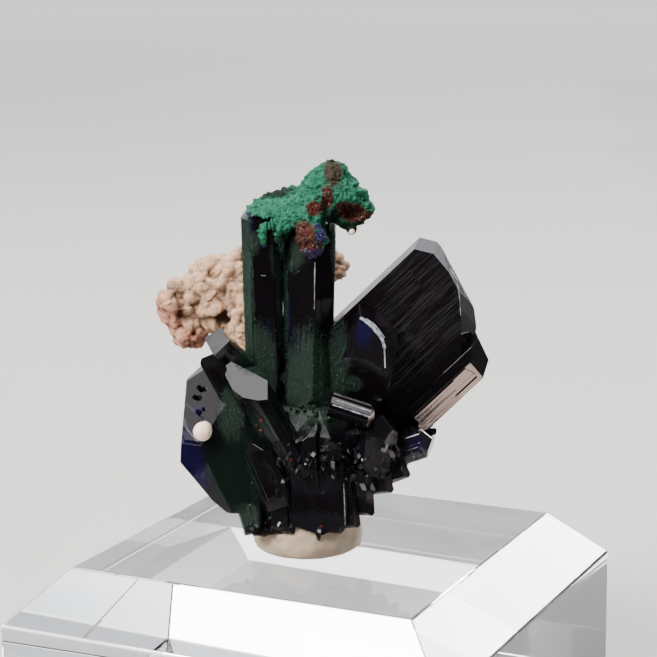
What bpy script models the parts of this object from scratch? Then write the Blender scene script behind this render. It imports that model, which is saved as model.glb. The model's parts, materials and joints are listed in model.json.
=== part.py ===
"""An azurite specimen with a malachite cap, held by mounting putty on a bevelled acrylic block.

The specimen is drawn in its own frame: origin where the putty meets the block, +X to the right,
+Y away from the front, +Z up, in millimetres. It then turns with the block's front corner.
Each crystal is a convex body cut by its own flat faces, as crystals are described: a face is a
direction and a distance from the crystal's centre.
"""

import math
import random

import bmesh
import bpy
from mathutils import Matrix, Vector

MM = 0.001

# Acrylic block: the usual 1 1/4 x 1 1/4 x 1/2 inch display base.
BLOCK_SIDE = 31.75
BLOCK_HEIGHT = 12.7
BLOCK_BEVEL = 3.5

# Where the specimen stands on the block, and how far it is turned about the vertical.
SPECIMEN_X = -0.1
SPECIMEN_Y = -1.6
SPECIMEN_TURN = math.radians(26)

# Free space between pieces that touch.
GAP = 0.3

PUTTY_RADIUS = 3.8
PUTTY_HEIGHT = 4.2
PUTTY_SIDES = 36

LEFT_BEAD_RADIUS = 0.66
LEFT_BEAD_CENTRE = (-6.75, -3.35, 9.1)
CAP_BEAD_RADIUS = 0.32
CAP_BEAD_CENTRE = (3.2, -0.4, 21.95)

# The core that the crystals grow out of.
CORE_CENTRE = (0.0, 0.4, 6.4)
CORE_RADII = (5.6, 4.0, 4.3)

# Small crystals scattered over the lower part of the core.
DRUSE_COUNT = 64
DRUSE_SEED = 12
DRUSE_RADIUS = (0.35, 0.7)
DRUSE_REACH = (0.5, 1.1)
DRUSE_TOP = 0.75

STOCK_SIDE = 60.0
CUT_TOLERANCE = 1e-6


def clear_scene():
    for old in list(bpy.data.objects):
        bpy.data.objects.remove(old, do_unlink=True)


def material(name, colour, roughness, transmission=0.0, ior=1.5):
    made = bpy.data.materials.new(name)
    made.use_nodes = True
    shader = made.node_tree.nodes["Principled BSDF"]
    shader.inputs["Base Color"].default_value = (*colour, 1.0)
    shader.inputs["Roughness"].default_value = roughness
    shader.inputs["Metallic"].default_value = 0.0
    shader.inputs["Transmission Weight"].default_value = transmission
    shader.inputs["IOR"].default_value = ior
    made.diffuse_color = (*colour, 1.0)
    return made


def specimen_matrix():
    """From the specimen's millimetres to the part's metres, standing on the block."""
    place = Matrix.Translation(Vector((SPECIMEN_X, SPECIMEN_Y, BLOCK_HEIGHT)) * MM)
    return place @ Matrix.Rotation(SPECIMEN_TURN, 4, "Z") @ Matrix.Scale(MM, 4)


def add_object(name, bm, finish=None, matrix=None):
    """A bmesh in millimetres becomes an object with its place in its mesh."""
    mesh = bpy.data.meshes.new(name)
    bm.to_mesh(mesh)
    bm.free()
    mesh.transform(matrix or specimen_matrix())
    obj = bpy.data.objects.new(name, mesh)
    bpy.context.scene.collection.objects.link(obj)
    if finish is not None:
        mesh.materials.append(finish)
    return obj


def helper_collection(name, meshes):
    """Hidden objects that a Boolean reads."""
    made = bpy.data.collections.new(name)
    bpy.context.scene.collection.children.link(made)
    for number, bm in enumerate(meshes):
        obj = add_object(f"{name}_{number:02d}", bm)
        bpy.context.scene.collection.objects.unlink(obj)
        made.objects.link(obj)
        obj.hide_render = True
        obj.display_type = "WIRE"
    made.hide_render = True
    return made


def boolean(obj, operation, collection):
    cut = obj.modifiers.new(operation.lower(), "BOOLEAN")
    cut.operation = operation
    cut.operand_type = "COLLECTION"
    cut.collection = collection
    cut.solver = "EXACT"
    return cut


# Crystals


def crystal_axes(axis, front):
    """The long axis, the direction of azimuth 0, and the direction of azimuth 90 to its right."""
    along = Vector(axis).normalized()
    ahead = Vector(front) - along * Vector(front).dot(along)
    ahead.normalize()
    return along, ahead, along.cross(ahead)


def cut_by(bm, point, normal):
    """Takes away what lies beyond the plane, and closes the cut."""
    geometry = bm.verts[:] + bm.edges[:] + bm.faces[:]
    found = bmesh.ops.bisect_plane(
        bm, geom=geometry, dist=CUT_TOLERANCE, plane_co=point, plane_no=normal, clear_outer=True
    )
    rim = [e for e in found["geom_cut"] if isinstance(e, bmesh.types.BMEdge)]
    if rim:
        bmesh.ops.holes_fill(bm, edges=rim, sides=0)


def crystal(centre, axis, front, sides, caps, foot, grow=0.0):
    """One crystal.

    sides: (azimuth in degrees, distance) of each face of the prism.
    caps: (azimuth, tilt from the axis, distance) of each face of the tip.
    foot: distance from the centre to the hidden end. grow moves every face out.
    """
    middle = Vector(centre)
    along, ahead, right = crystal_axes(axis, front)
    faces = [(azimuth, 90.0, distance) for azimuth, distance in sides]
    faces += list(caps) + [(0.0, 180.0, foot)]
    bm = bmesh.new()
    bmesh.ops.create_cube(bm, size=STOCK_SIDE, matrix=Matrix.Translation(middle))
    for azimuth, tilt, distance in faces:
        turn, lean = math.radians(azimuth), math.radians(tilt)
        outward = ahead * math.cos(turn) + right * math.sin(turn)
        normal = along * math.cos(lean) + outward * math.sin(lean)
        cut_by(bm, middle + normal * (distance + grow), normal)
    return bm


def six_sides(radius, depth=1.0, turn=0.0):
    """A hexagonal prism's faces, flattened front to back by depth."""
    faces = []
    for azimuth in range(0, 360, 60):
        squeeze = depth if azimuth % 180 == 0 else 1.0
        faces.append((azimuth + turn, radius * squeeze))
    return faces


# The crystals that have a face or an edge of their own in the specimen's outline.
CRYSTALS = {
    "tall_right": dict(
        centre=(0.1, 0.6, 14.0),
        axis=(0.03, 0.0, 1.0),
        front=(0, -1, 0),
        sides=[
            (-60, 1.84),
            (-15, 1.91),
            (35, 1.98),
            (90, 1.75),
            (140, 2.2),
            (180, 2.0),
            (-140, 2.3),
        ],
        caps=[(0, 15, 7.9), (-90, 40, 7.4)],
        foot=9.0,
    ),
    "tall_left": dict(
        centre=(-3.0, 0.8, 14.0),
        axis=(-0.015, 0.0, 1.0),
        front=(0, -1, 0),
        sides=[
            (5, 1.97),
            (-55, 1.37),
            (-90, 1.05),
            (-135, 1.5),
            (180, 1.6),
            (140, 2.0),
            (90, 1.5),
            (60, 1.85),
        ],
        caps=[(0, 8, 8.9), (-90, 45, 7.0)],
        foot=9.0,
    ),
    "broad_blade": dict(
        centre=(7.8, 1.0, 15.6),
        axis=(0.734, 0.0, 0.69),
        front=(0.08, -1, 0),
        sides=[(0, 1.6), (48, 3.75), (90, 4.3), (140, 3.6), (180, 1.8), (-140, 3.8), (-96, 3.94)],
        caps=[(-81, 32, 5.0), (24, 9.5, 3.87), (70, 16.5, 3.4), (60, 39, 3.13), (58, 48, 3.06)],
        foot=9.5,
    ),
    "side_blade": dict(
        centre=(10.6, 0.6, 11.5),
        axis=(0.734, 0.0, 0.69),
        front=(0.05, -1, 0),
        sides=[(0, 1.0), (50, 0.39), (90, 1.36), (140, 1.5), (180, 1.5), (-90, 1.4)],
        caps=[(90, 18.4, 2.24), (80, 48, 1.72), (80, 76, 1.35)],
        foot=7.5,
    ),
    "front_wedge": dict(
        centre=(4.1, -2.2, 13.4),
        axis=(0.27, 0.1, 0.96),
        front=(-0.25, -1, 0.15),
        sides=[(0, 1.5), (62, 1.55), (110, 1.65), (180, 1.8), (-90, 1.6), (-45, 1.75)],
        caps=[(90, 4.5, 2.55), (90, 46, 1.71), (-90, 74, 1.95), (0, 125, 1.72)],
        foot=4.5,
    ),
    "striped_prism": dict(
        centre=(3.1, -3.95, 10.55),
        axis=(0.945, -0.09, -0.31),
        front=(0.15, -0.75, 0.65),
        sides=[(0, 0.55), (62, 0.72), (115, 0.8), (180, 0.9), (-120, 0.8), (-62, 0.68)],
        caps=[(45, 30, 1.35), (-90, 38, 1.2)],
        foot=1.5,
    ),
    "left_small": dict(
        centre=(-4.8, -1.35, 13.65),
        axis=(-0.5, -0.55, 0.67),
        front=(0, -0.9, -0.4),
        sides=[(36, 0.7), (110, 0.7), (-156, 0.75), (-76, 0.67)],
        caps=[(63, 19, 1.9)],
        foot=4.0,
    ),
    "left_prism": dict(
        centre=(-3.9, -2.3, 10.6),
        axis=(-0.45, -0.15, 0.88),
        front=(0.2, -1, 0),
        sides=[(0, 1.3), (-55, 1.32), (-100, 1.75), (-140, 1.6), (180, 1.3), (95, 1.5), (50, 1.72)],
        caps=[(17, 44, 2.03), (150, 25, 2.55), (-100, 50, 2.6)],
        foot=5.0,
    ),
    "left_tabular": dict(
        centre=(-5.2, -0.8, 7.3),
        axis=(0, 0, 1),
        front=(0, -1, 0),
        sides=[(3, 2.2), (90, 3.2), (180, 2.3), (-130, 2.9)],
        caps=[
            (0, 0, 5.6),
            (-54, 110.6, 2.53),
            (-36.3, 68.3, 3.01),
            (-90, 85, 3.25),
            (-90, 130.8, 2.88),
            (-90, 143.5, 3.16),
            (-90, 35, 5.35),
            (60, 50, 5.0),
        ],
        foot=4.1,
    ),
    "bottom_block": dict(
        centre=(0.7, -2.2, 4.5),
        axis=(0.03, -0.1, -1),
        front=(0, -1, 0.1),
        sides=[(0, 1.5), (45, 2.2), (90, 2.0), (180, 1.5), (-90, 2.05), (-50, 2.35)],
        caps=[(90, 20, 2.5), (-90, 25, 2.6)],
        foot=2.2,
    ),
    "middle_prism": dict(
        centre=(0.2, -3.2, 7.5),
        axis=(-0.05, -0.1, 1),
        front=(0, -1, 0),
        sides=[(0, 0.8), (-60, 0.75), (60, 0.8), (90, 0.68), (180, 1.0), (-90, 0.8)],
        caps=[(-40, 50, 0.9), (60, 20, 1.6)],
        foot=2.5,
    ),
    "right_middle": dict(
        centre=(4.8, -2.9, 8.4),
        axis=(0.1, -0.3, 0.95),
        front=(0, -1, 0),
        sides=[(0, 0.9), (55, 1.1), (90, 1.15), (180, 1.2), (-90, 1.2), (-55, 1.15)],
        caps=[(20, 25, 1.25), (-90, 35, 1.5)],
        foot=2.6,
    ),
    "left_middle": dict(
        centre=(-1.5, -2.8, 7.4),
        axis=(-0.2, -0.3, 0.9),
        front=(0, -1, 0),
        sides=six_sides(0.85, 0.8, 8),
        caps=[(10, 35, 1.5), (180, 30, 1.7)],
        foot=2.6,
    ),
    "right_low": dict(
        centre=(6.9, -1.2, 7.4),
        axis=(0.9, -0.2, 0.35),
        front=(0, -1, 0.3),
        sides=[(0, 1.0), (60, 1.1), (110, 1.15), (180, 1.4), (-80, 1.0), (-40, 1.05)],
        caps=[(0, 30, 1.55), (100, 35, 1.5), (-100, 30, 1.45)],
        foot=3.5,
    ),
}

# Short prisms that hang at the foot of the specimen: centre, axis, radius, reach of the tip.
HANGING = [
    ((-4.0, -2.5, 3.1), (0.26, -0.1, -0.95), 0.58, 1.3),
    ((-2.3, -2.4, 3.0), (0.12, -0.1, -1.0), 0.82, 1.35),
    ((3.6, -2.4, 4.4), (0.05, 0.0, -1.0), 0.8, 1.35),
    ((4.9, -2.0, 5.7), (0.2, 0.0, -1.0), 0.65, 1.3),
    ((5.8, -1.6, 6.5), (0.4, -0.1, -0.9), 0.65, 1.35),
    ((-2.9, 1.8, 3.2), (-0.1, 0.2, -1.0), 0.9, 1.2),
    ((2.4, 2.2, 3.4), (0.2, 0.2, -1.0), 0.9, 1.3),
    ((0.2, 3.0, 3.6), (0.0, 0.3, -1.0), 0.8, 1.3),
    ((-0.8, 0.2, 2.8), (0.05, 0.0, -1.0), 1.1, 1.2),
]

# Prisms on the sides and back that the front view hides: centre, axis, radius, flatness, reach.
REAR = [
    ((-4.6, 2.6, 8.2), (-0.7, 0.5, 0.5), 1.3, 0.7, 2.2),
    ((4.6, 3.0, 8.0), (0.6, 0.6, 0.45), 1.4, 0.75, 2.0),
    ((1.8, 3.8, 7.2), (0.2, 0.9, 0.2), 1.2, 0.8, 1.7),
    ((-2.2, 4.0, 6.6), (-0.3, 0.95, -0.1), 1.1, 0.8, 1.5),
    ((-5.4, 1.4, 5.6), (-0.85, 0.4, -0.2), 1.0, 0.8, 1.4),
    ((5.4, 1.0, 6.2), (0.9, 0.3, 0.0), 1.1, 0.7, 1.6),
    ((3.2, 3.0, 11.0), (0.3, 0.5, 0.8), 1.4, 0.6, 2.6),
    ((-0.2, 3.4, 5.0), (0.1, 0.85, -0.45), 0.9, 0.9, 1.5),
]


def core():
    """An irregular faceted lump that every crystal reaches into."""
    bm = bmesh.new()
    bmesh.ops.create_icosphere(bm, subdivisions=2, radius=1.0)
    for vert in bm.verts:
        vert.co *= 1.0 + 0.08 * math.sin(7.0 * vert.co.x + 5.0 * vert.co.y) * math.cos(6.0 * vert.co.z)
    bmesh.ops.scale(bm, vec=CORE_RADII, verts=bm.verts)
    bmesh.ops.translate(bm, vec=CORE_CENTRE, verts=bm.verts)
    return bm


def druse(grow=0.0):
    """Small pointed crystals that stand out of the core, seeded so that they never change."""
    rng = random.Random(DRUSE_SEED)
    made = []
    for number in range(DRUSE_COUNT):
        height = -1.0 + (1.0 + DRUSE_TOP) * (number + 0.5) / DRUSE_COUNT
        around = number * math.pi * (3.0 - math.sqrt(5.0))
        ring = math.sqrt(1.0 - height * height)
        spot = Vector((ring * math.cos(around), ring * math.sin(around), height))
        outward = Vector([s / r for s, r in zip(spot, CORE_RADII)]).normalized()
        lean = Vector([rng.uniform(-0.5, 0.5) for _ in range(3)])
        centre = Vector([c + s * r * 0.93 for c, s, r in zip(CORE_CENTRE, spot, CORE_RADII)])
        radius = rng.uniform(*DRUSE_RADIUS)
        turn = rng.uniform(0, 60)
        reach = rng.uniform(*DRUSE_REACH)
        made.append(
            crystal(
                centre,
                outward + lean,
                (0.3, -1, 0.4),
                six_sides(radius, rng.uniform(0.6, 1.0), turn),
                [(turn + 20, 38, reach), (turn + 150, 35, reach * 1.1), (turn + 270, 30, reach)],
                1.2,
                grow,
            )
        )
    return made


def azurite_bodies(grow=0.0):
    bodies = [crystal(grow=grow, **faces) for faces in CRYSTALS.values()]
    for centre, axis, radius, reach in HANGING:
        sides = six_sides(radius, 0.85, turn=12)
        caps = [(20, 35, reach), (200, 25, reach)]
        bodies.append(crystal(centre, axis, (0, -1, 0), sides, caps, 2.0, grow))
    for centre, axis, radius, flatness, reach in REAR:
        sides = six_sides(radius, flatness, turn=20)
        caps = [(-20, 32, reach), (110, 30, reach), (220, 40, reach)]
        bodies.append(crystal(centre, axis, (0.2, 0.3, 1), sides, caps, 4.0, grow))
    return bodies + druse(grow)


# Crusts and lumps


def blobs(ellipsoids, chunks=()):
    """Overlapping ellipsoids, (centre, radii) each, and convex chunks, a list of corners each."""
    bm = bmesh.new()
    for centre, radii in ellipsoids:
        found = bmesh.ops.create_icosphere(bm, subdivisions=3, radius=1.0)
        bmesh.ops.scale(bm, vec=radii, verts=found["verts"])
        bmesh.ops.translate(bm, vec=centre, verts=found["verts"])
    for corners in chunks:
        verts = [bm.verts.new(corner) for corner in corners]
        found = bmesh.ops.convex_hull(bm, input=verts)
        spare = [v for v in found["geom_interior"] if isinstance(v, bmesh.types.BMVert)]
        bmesh.ops.delete(bm, geom=spare, context="VERTS")
    return bm


def weather(obj, voxel, pattern, size, strength, keep):
    """Fuses a blob object into one skin, roughens it and thins it to a share of its faces."""
    fuse = obj.modifiers.new("fuse", "REMESH")
    fuse.mode = "VOXEL"
    fuse.voxel_size = voxel * MM
    soften = obj.modifiers.new("soften", "SMOOTH")
    soften.iterations = 2
    texture = bpy.data.textures.new(obj.name, pattern)
    texture.noise_scale = size * MM
    rough = obj.modifiers.new("rough", "DISPLACE")
    rough.texture = texture
    rough.texture_coords = "LOCAL"
    rough.strength = strength * MM
    thin = obj.modifiers.new("thin", "DECIMATE")
    thin.ratio = keep


# The cap as convex chunks: its left slab, its peak, the wing that overhangs to the right, the
# nodule on the front of the right crystal, and two runs down the fronts of the tall crystals.
CAP_CHUNKS = [
    [
        (-3.5, -1.3, 22.7), (-3.2, -1.6, 22.1), (-1.2, -1.7, 22.3), (0.2, -1.7, 22.6),
        (0.2, -1.3, 23.4), (-2.4, -1.2, 23.1), (-3.9, 0.8, 23.4), (-2.75, 1.8, 24.2),
        (-1.2, 2.0, 24.6), (0.0, 1.9, 24.9), (-3.8, 1.8, 22.8), (0.3, 2.4, 22.8), (-1.5, 2.6, 22.6),
    ],
    [
        (-0.3, 0.8, 24.8), (0.4, 0.5, 25.7), (1.3, 0.7, 26.3), (1.94, 0.6, 26.7), (2.8, 0.6, 26.2),
        (3.5, 0.5, 25.4), (3.6, 0.3, 24.7), (0.2, -1.1, 23.6), (1.2, -1.2, 24.4), (2.2, -1.0, 25.0),
        (2.6, -0.9, 24.0), (1.4, -1.5, 22.6), (0.2, -1.5, 22.5), (0.4, 2.2, 23.0), (2.6, 2.0, 24.2),
        (1.6, 2.2, 25.2), (2.2, 1.8, 22.6),
    ],
    [
        (2.2, -0.8, 24.9), (3.5, 0.2, 25.3), (4.35, 0.0, 24.4), (4.85, -0.2, 23.1), (4.4, -0.4, 22.6),
        (3.6, -0.9, 23.6), (2.6, -1.2, 23.9), (2.2, -0.6, 22.1), (2.9, -0.4, 22.0), (3.6, 0.6, 22.3),
        (4.4, 1.0, 23.2), (3.4, 1.6, 24.6), (2.2, 1.6, 23.0),
    ],
    [
        (-0.3, -1.5, 22.3), (1.4, -1.5, 22.6), (1.7, -1.5, 21.6), (1.1, -1.6, 20.5), (0.6, -1.6, 20.1),
        (-0.1, -1.6, 20.9), (-0.35, -1.6, 21.6), (0.6, -2.3, 21.9), (0.7, -2.2, 21.0),
        (0.1, -2.1, 21.5), (1.2, -2.1, 21.5), (0.0, -0.9, 22.5), (1.5, -0.9, 22.4), (0.7, -1.1, 20.4),
    ],
    [
        (-3.5, -1.2, 22.6), (-2.3, -1.3, 22.7), (-2.4, -1.2, 21.6), (-2.6, -1.2, 20.7),
        (-3.0, -1.2, 21.4), (-3.0, -1.95, 22.0), (-2.6, -1.9, 21.2),
    ],
    [
        (-2.3, -1.0, 22.6), (-0.8, -1.2, 22.6), (-1.1, -0.9, 20.4), (-1.6, -0.7, 19.9),
        (-1.9, -0.9, 21.2), (-1.4, -1.8, 21.9), (-1.4, -1.65, 20.9),
    ],
]

# The hollow on the front of the wing.
CAP_HOLLOW = [((3.55, -1.15, 23.15), (0.85, 0.75, 0.55))]

MATRIX_BLOBS = [
    ((-8.7, 6.5, 15.7), (1.8, 1.8, 1.8)),
    ((-8.1, 6.3, 13.9), (1.05, 1.3, 1.5)),
    ((-6.4, 6.8, 16.4), (2.2, 2.4, 2.4)),
    ((-4.0, 6.5, 16.8), (2.6, 2.8, 3.0)),
    ((-1.0, 6.2, 17.0), (2.8, 2.6, 3.0)),
    ((0.9, 6.3, 18.5), (1.8, 1.8, 1.5)),
    ((-3.0, 4.0, 14.0), (2.5, 2.0, 3.0)),
    ((-2.0, 3.8, 11.0), (2.2, 1.6, 2.5)),
]


def putty():
    """A pressed dab: a low dome with a bulging foot, turned about the vertical."""
    profile = [(0.86, 0.0), (0.97, 0.08), (1.0, 0.22), (0.97, 0.42), (0.88, 0.7), (0.7, 1.0)]
    bm = bmesh.new()
    ring = []
    for share, level in profile:
        ring.append(bm.verts.new((PUTTY_RADIUS * share, 0, GAP + PUTTY_HEIGHT * level)))
    edges = [bm.edges.new(pair) for pair in zip(ring, ring[1:])]
    bmesh.ops.spin(
        bm, geom=ring + edges, cent=(0, 0, 0), axis=(0, 0, 1), angle=2 * math.pi,
        steps=PUTTY_SIDES, use_merge=True,
    )
    bmesh.ops.holes_fill(bm, edges=[e for e in bm.edges if e.is_boundary], sides=0)
    bmesh.ops.recalc_face_normals(bm, faces=bm.faces)
    return bm


def bead(centre, radius):
    bm = bmesh.new()
    bmesh.ops.create_icosphere(bm, subdivisions=3, radius=radius, matrix=Matrix.Translation(centre))
    return bm


def acrylic_block():
    """A square slab with its top edges cut back at 45 degrees."""
    bm = bmesh.new()
    bmesh.ops.create_cube(bm, size=1.0)
    bmesh.ops.scale(bm, vec=(BLOCK_SIDE, BLOCK_SIDE, BLOCK_HEIGHT), verts=bm.verts)
    bmesh.ops.translate(bm, vec=(0, 0, BLOCK_HEIGHT / 2), verts=bm.verts)
    rim = [e for e in bm.edges if all(v.co.z > BLOCK_HEIGHT / 2 for v in e.verts)]
    bmesh.ops.bevel(
        bm, geom=rim, offset=BLOCK_BEVEL, offset_type="OFFSET", segments=1, profile=0.5,
        affect="EDGES", material=-1,
    )
    return bm


def main():
    clear_scene()
    azurite = material("azurite", (0.012, 0.014, 0.075), 0.12, ior=1.77)
    malachite = material("malachite", (0.06, 0.42, 0.22), 0.75)
    matrix_stone = material("matrix_stone", (0.72, 0.6, 0.48), 0.8)
    calcite = material("calcite", (0.85, 0.72, 0.6), 0.4)
    tack = material("putty", (0.82, 0.79, 0.7), 0.55)
    acrylic = material("acrylic", (1.0, 1.0, 1.0), 0.02, transmission=1.0, ior=1.49)

    crystals = helper_collection("crystal", azurite_bodies())
    clearance = helper_collection("clearance", azurite_bodies(GAP) + [core()])

    cluster = add_object("azurite_crystals", core(), azurite)
    boolean(cluster, "UNION", crystals)

    cap = add_object("malachite_cap", blobs([(CAP_BEAD_CENTRE, [CAP_BEAD_RADIUS] * 3)], CAP_CHUNKS), malachite)
    weather(cap, 0.2, "CLOUDS", 0.9, 0.45, 0.12)
    boolean(cap, "DIFFERENCE", helper_collection("hollow", [blobs(CAP_HOLLOW)]))
    boolean(cap, "DIFFERENCE", clearance)

    lump = add_object("matrix_lump", blobs(MATRIX_BLOBS), matrix_stone)
    weather(lump, 0.3, "VORONOI", 1.3, 0.8, 0.2)
    boolean(lump, "DIFFERENCE", clearance)

    dab = add_object("mounting_putty", putty(), tack)
    boolean(dab, "DIFFERENCE", clearance)

    left_bead = add_object("left_bead", bead(LEFT_BEAD_CENTRE, LEFT_BEAD_RADIUS), calcite)
    boolean(left_bead, "DIFFERENCE", clearance)

    add_object("acrylic_block", acrylic_block(), acrylic, Matrix.Scale(MM, 4))


main()
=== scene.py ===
"""Dressed model of an azurite specimen: dark blue crystals under a malachite cap, on a clear block.

The crystals are drawn in the specimen's own frame, in millimetres: origin where the putty meets
the block, +X to the right, +Y away from the front, +Z up. A finished piece is in metres.
"""

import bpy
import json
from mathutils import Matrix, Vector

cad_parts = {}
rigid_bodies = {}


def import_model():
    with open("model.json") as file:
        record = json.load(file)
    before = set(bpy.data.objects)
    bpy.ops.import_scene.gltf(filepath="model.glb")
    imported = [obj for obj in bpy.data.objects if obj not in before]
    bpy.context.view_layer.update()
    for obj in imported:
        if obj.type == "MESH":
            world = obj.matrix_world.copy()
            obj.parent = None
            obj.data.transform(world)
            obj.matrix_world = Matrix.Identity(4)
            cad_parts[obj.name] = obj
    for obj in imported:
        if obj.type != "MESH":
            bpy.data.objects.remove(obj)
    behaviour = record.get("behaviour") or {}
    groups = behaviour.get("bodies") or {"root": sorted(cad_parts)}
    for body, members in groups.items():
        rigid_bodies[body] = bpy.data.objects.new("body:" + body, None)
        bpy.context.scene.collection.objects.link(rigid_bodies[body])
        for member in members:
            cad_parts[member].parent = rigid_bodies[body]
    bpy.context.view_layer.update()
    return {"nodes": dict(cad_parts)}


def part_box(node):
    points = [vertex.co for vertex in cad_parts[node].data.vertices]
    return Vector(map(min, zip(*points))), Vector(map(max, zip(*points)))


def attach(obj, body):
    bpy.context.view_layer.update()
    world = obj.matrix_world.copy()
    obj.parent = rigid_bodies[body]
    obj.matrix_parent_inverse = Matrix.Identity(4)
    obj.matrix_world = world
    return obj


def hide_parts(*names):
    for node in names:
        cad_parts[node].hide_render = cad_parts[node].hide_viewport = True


bl_info = {
    "name": "Azurite specimen",
    "version": (1, 0, 0),
    "blender": (4, 5, 0),
    "location": "View3D > Sidebar > Specimen",
    "description": "Adds an azurite specimen with a malachite cap, set with putty on a clear block",
    "category": "Add Mesh",
}

import json
import math
import random
from functools import partial

import bmesh
import bpy
from bpy.props import FloatProperty, FloatVectorProperty, IntProperty, PointerProperty
from mathutils import Matrix, Vector, noise

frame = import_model()

MM = 0.001
BLOCK_LOW, BLOCK_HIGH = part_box("acrylic_block")
BLOCK_TOP = BLOCK_HIGH.z

# Where the specimen stands on the block, how far it is turned, and the way to its frame and back.
SPECIMEN_PLACE = (-0.1 * MM, -1.6 * MM, BLOCK_TOP)
SPECIMEN_TURN = math.radians(26)
TURN = Matrix.Rotation(SPECIMEN_TURN, 4, "Z")
TO_BLOCK = Matrix.Translation(SPECIMEN_PLACE) @ TURN @ Matrix.Scale(MM, 4)
TO_SPECIMEN = TO_BLOCK.inverted()

# The photographer's view: a long lens, 26 degrees round to the right and 11.5 degrees up.
CAMERA_PLACE = (0.0580, -0.11676, 0.05407)
CAMERA_AZIMUTH = math.radians(26.068)
CAMERA_ELEVATION = math.radians(11.456)
CAMERA_ROLL = math.radians(-0.638)
CAMERA_LENS = 106.8
CAMERA_SENSOR = 36.0

STOCK_SIDE = 60.0
CUT_TOLERANCE = 1e-5
UV_NAME = "along_crystal"
# A face is a crystal's end where the cosine between its normal and the long axis is above this.
END_COSINE = 0.35
RISER_WIDTH = (0.015, 0.04)
BEVEL = {"offset_type": "OFFSET", "profile": 0.5, "affect": "EDGES", "material": -1}


# Small tools


def linear(code):
    """An sRGB hex colour as linear RGBA."""
    parts = [int(code[i : i + 2], 16) / 255 for i in (1, 3, 5)]
    return [p / 12.92 if p <= 0.04045 else ((p + 0.055) / 1.055) ** 2.4 for p in parts] + [1.0]


def set_inputs(made, inputs):
    """Sets a node's inputs, by name or in their order, or links them to other nodes' outputs."""
    for name, value in inputs.items() if isinstance(inputs, dict) else enumerate(inputs):
        if isinstance(value, bpy.types.NodeSocket):
            made.id_data.links.new(value, made.inputs[name])
        else:
            made.inputs[name].default_value = value


def add_node(tree, kind, inputs=(), ramp=(), **settings):
    """Adds a shader node with its settings, inputs and links, and returns its outputs."""
    made = tree.nodes.new("ShaderNode" + kind)
    for name, value in settings.items():
        setattr(made, name, value)
    set_inputs(made, inputs)
    for number, (position, colour) in enumerate(ramp):
        elements = made.color_ramp.elements
        element = elements[number] if number < 2 else elements.new(position)
        element.position = position
        element.color = colour
    return made.outputs


def new_object(name, bm, matrix=TO_BLOCK):
    """A bmesh becomes an object at the origin, with its place in its mesh."""
    mesh = bpy.data.meshes.new(name)
    bm.to_mesh(mesh)
    bm.free()
    mesh.transform(matrix)
    obj = bpy.data.objects.new(name, mesh)
    bpy.context.scene.collection.objects.link(obj)
    return obj


def opened(mesh):
    """A finished mesh as a bmesh, in the specimen's millimetres."""
    bm = bmesh.new()
    bm.from_mesh(mesh)
    bmesh.ops.transform(bm, matrix=TO_SPECIMEN, verts=bm.verts)
    return bm


def bake_modifiers(obj):
    """Puts what the modifiers make into the mesh itself."""
    graph = bpy.context.evaluated_depsgraph_get()
    graph.update()
    mesh = bpy.data.meshes.new_from_object(obj.evaluated_get(graph), depsgraph=graph)
    obj.modifiers.clear()
    obj.data = mesh


def even_skin(obj, voxel, soften=0):
    """Gives a piece one skin of even facets, and opens it."""
    fuse = obj.modifiers.new("fuse", "REMESH")
    fuse.mode = "VOXEL"
    fuse.voxel_size = voxel * MM
    if soften:
        obj.modifiers.new("soften", "SMOOTH").iterations = soften
    bake_modifiers(obj)
    return opened(obj.data)


def put_back(obj, bm):
    """The worked bmesh becomes the piece's mesh again, shaded smooth."""
    for face in bm.faces:
        face.smooth = True
    bmesh.ops.transform(bm, matrix=TO_BLOCK, verts=bm.verts)
    bm.to_mesh(obj.data)
    bm.free()


def wear(obj, finish):
    """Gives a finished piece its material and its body."""
    obj.data.materials.clear()
    obj.data.materials.append(finish)
    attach(obj, "root")


# Crystals. Each is a convex body cut by its own flat faces: a face is a direction and a distance.
# Fields: centre, axis, front, sides (azimuth, distance), caps (azimuth, tilt, distance), foot.

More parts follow.
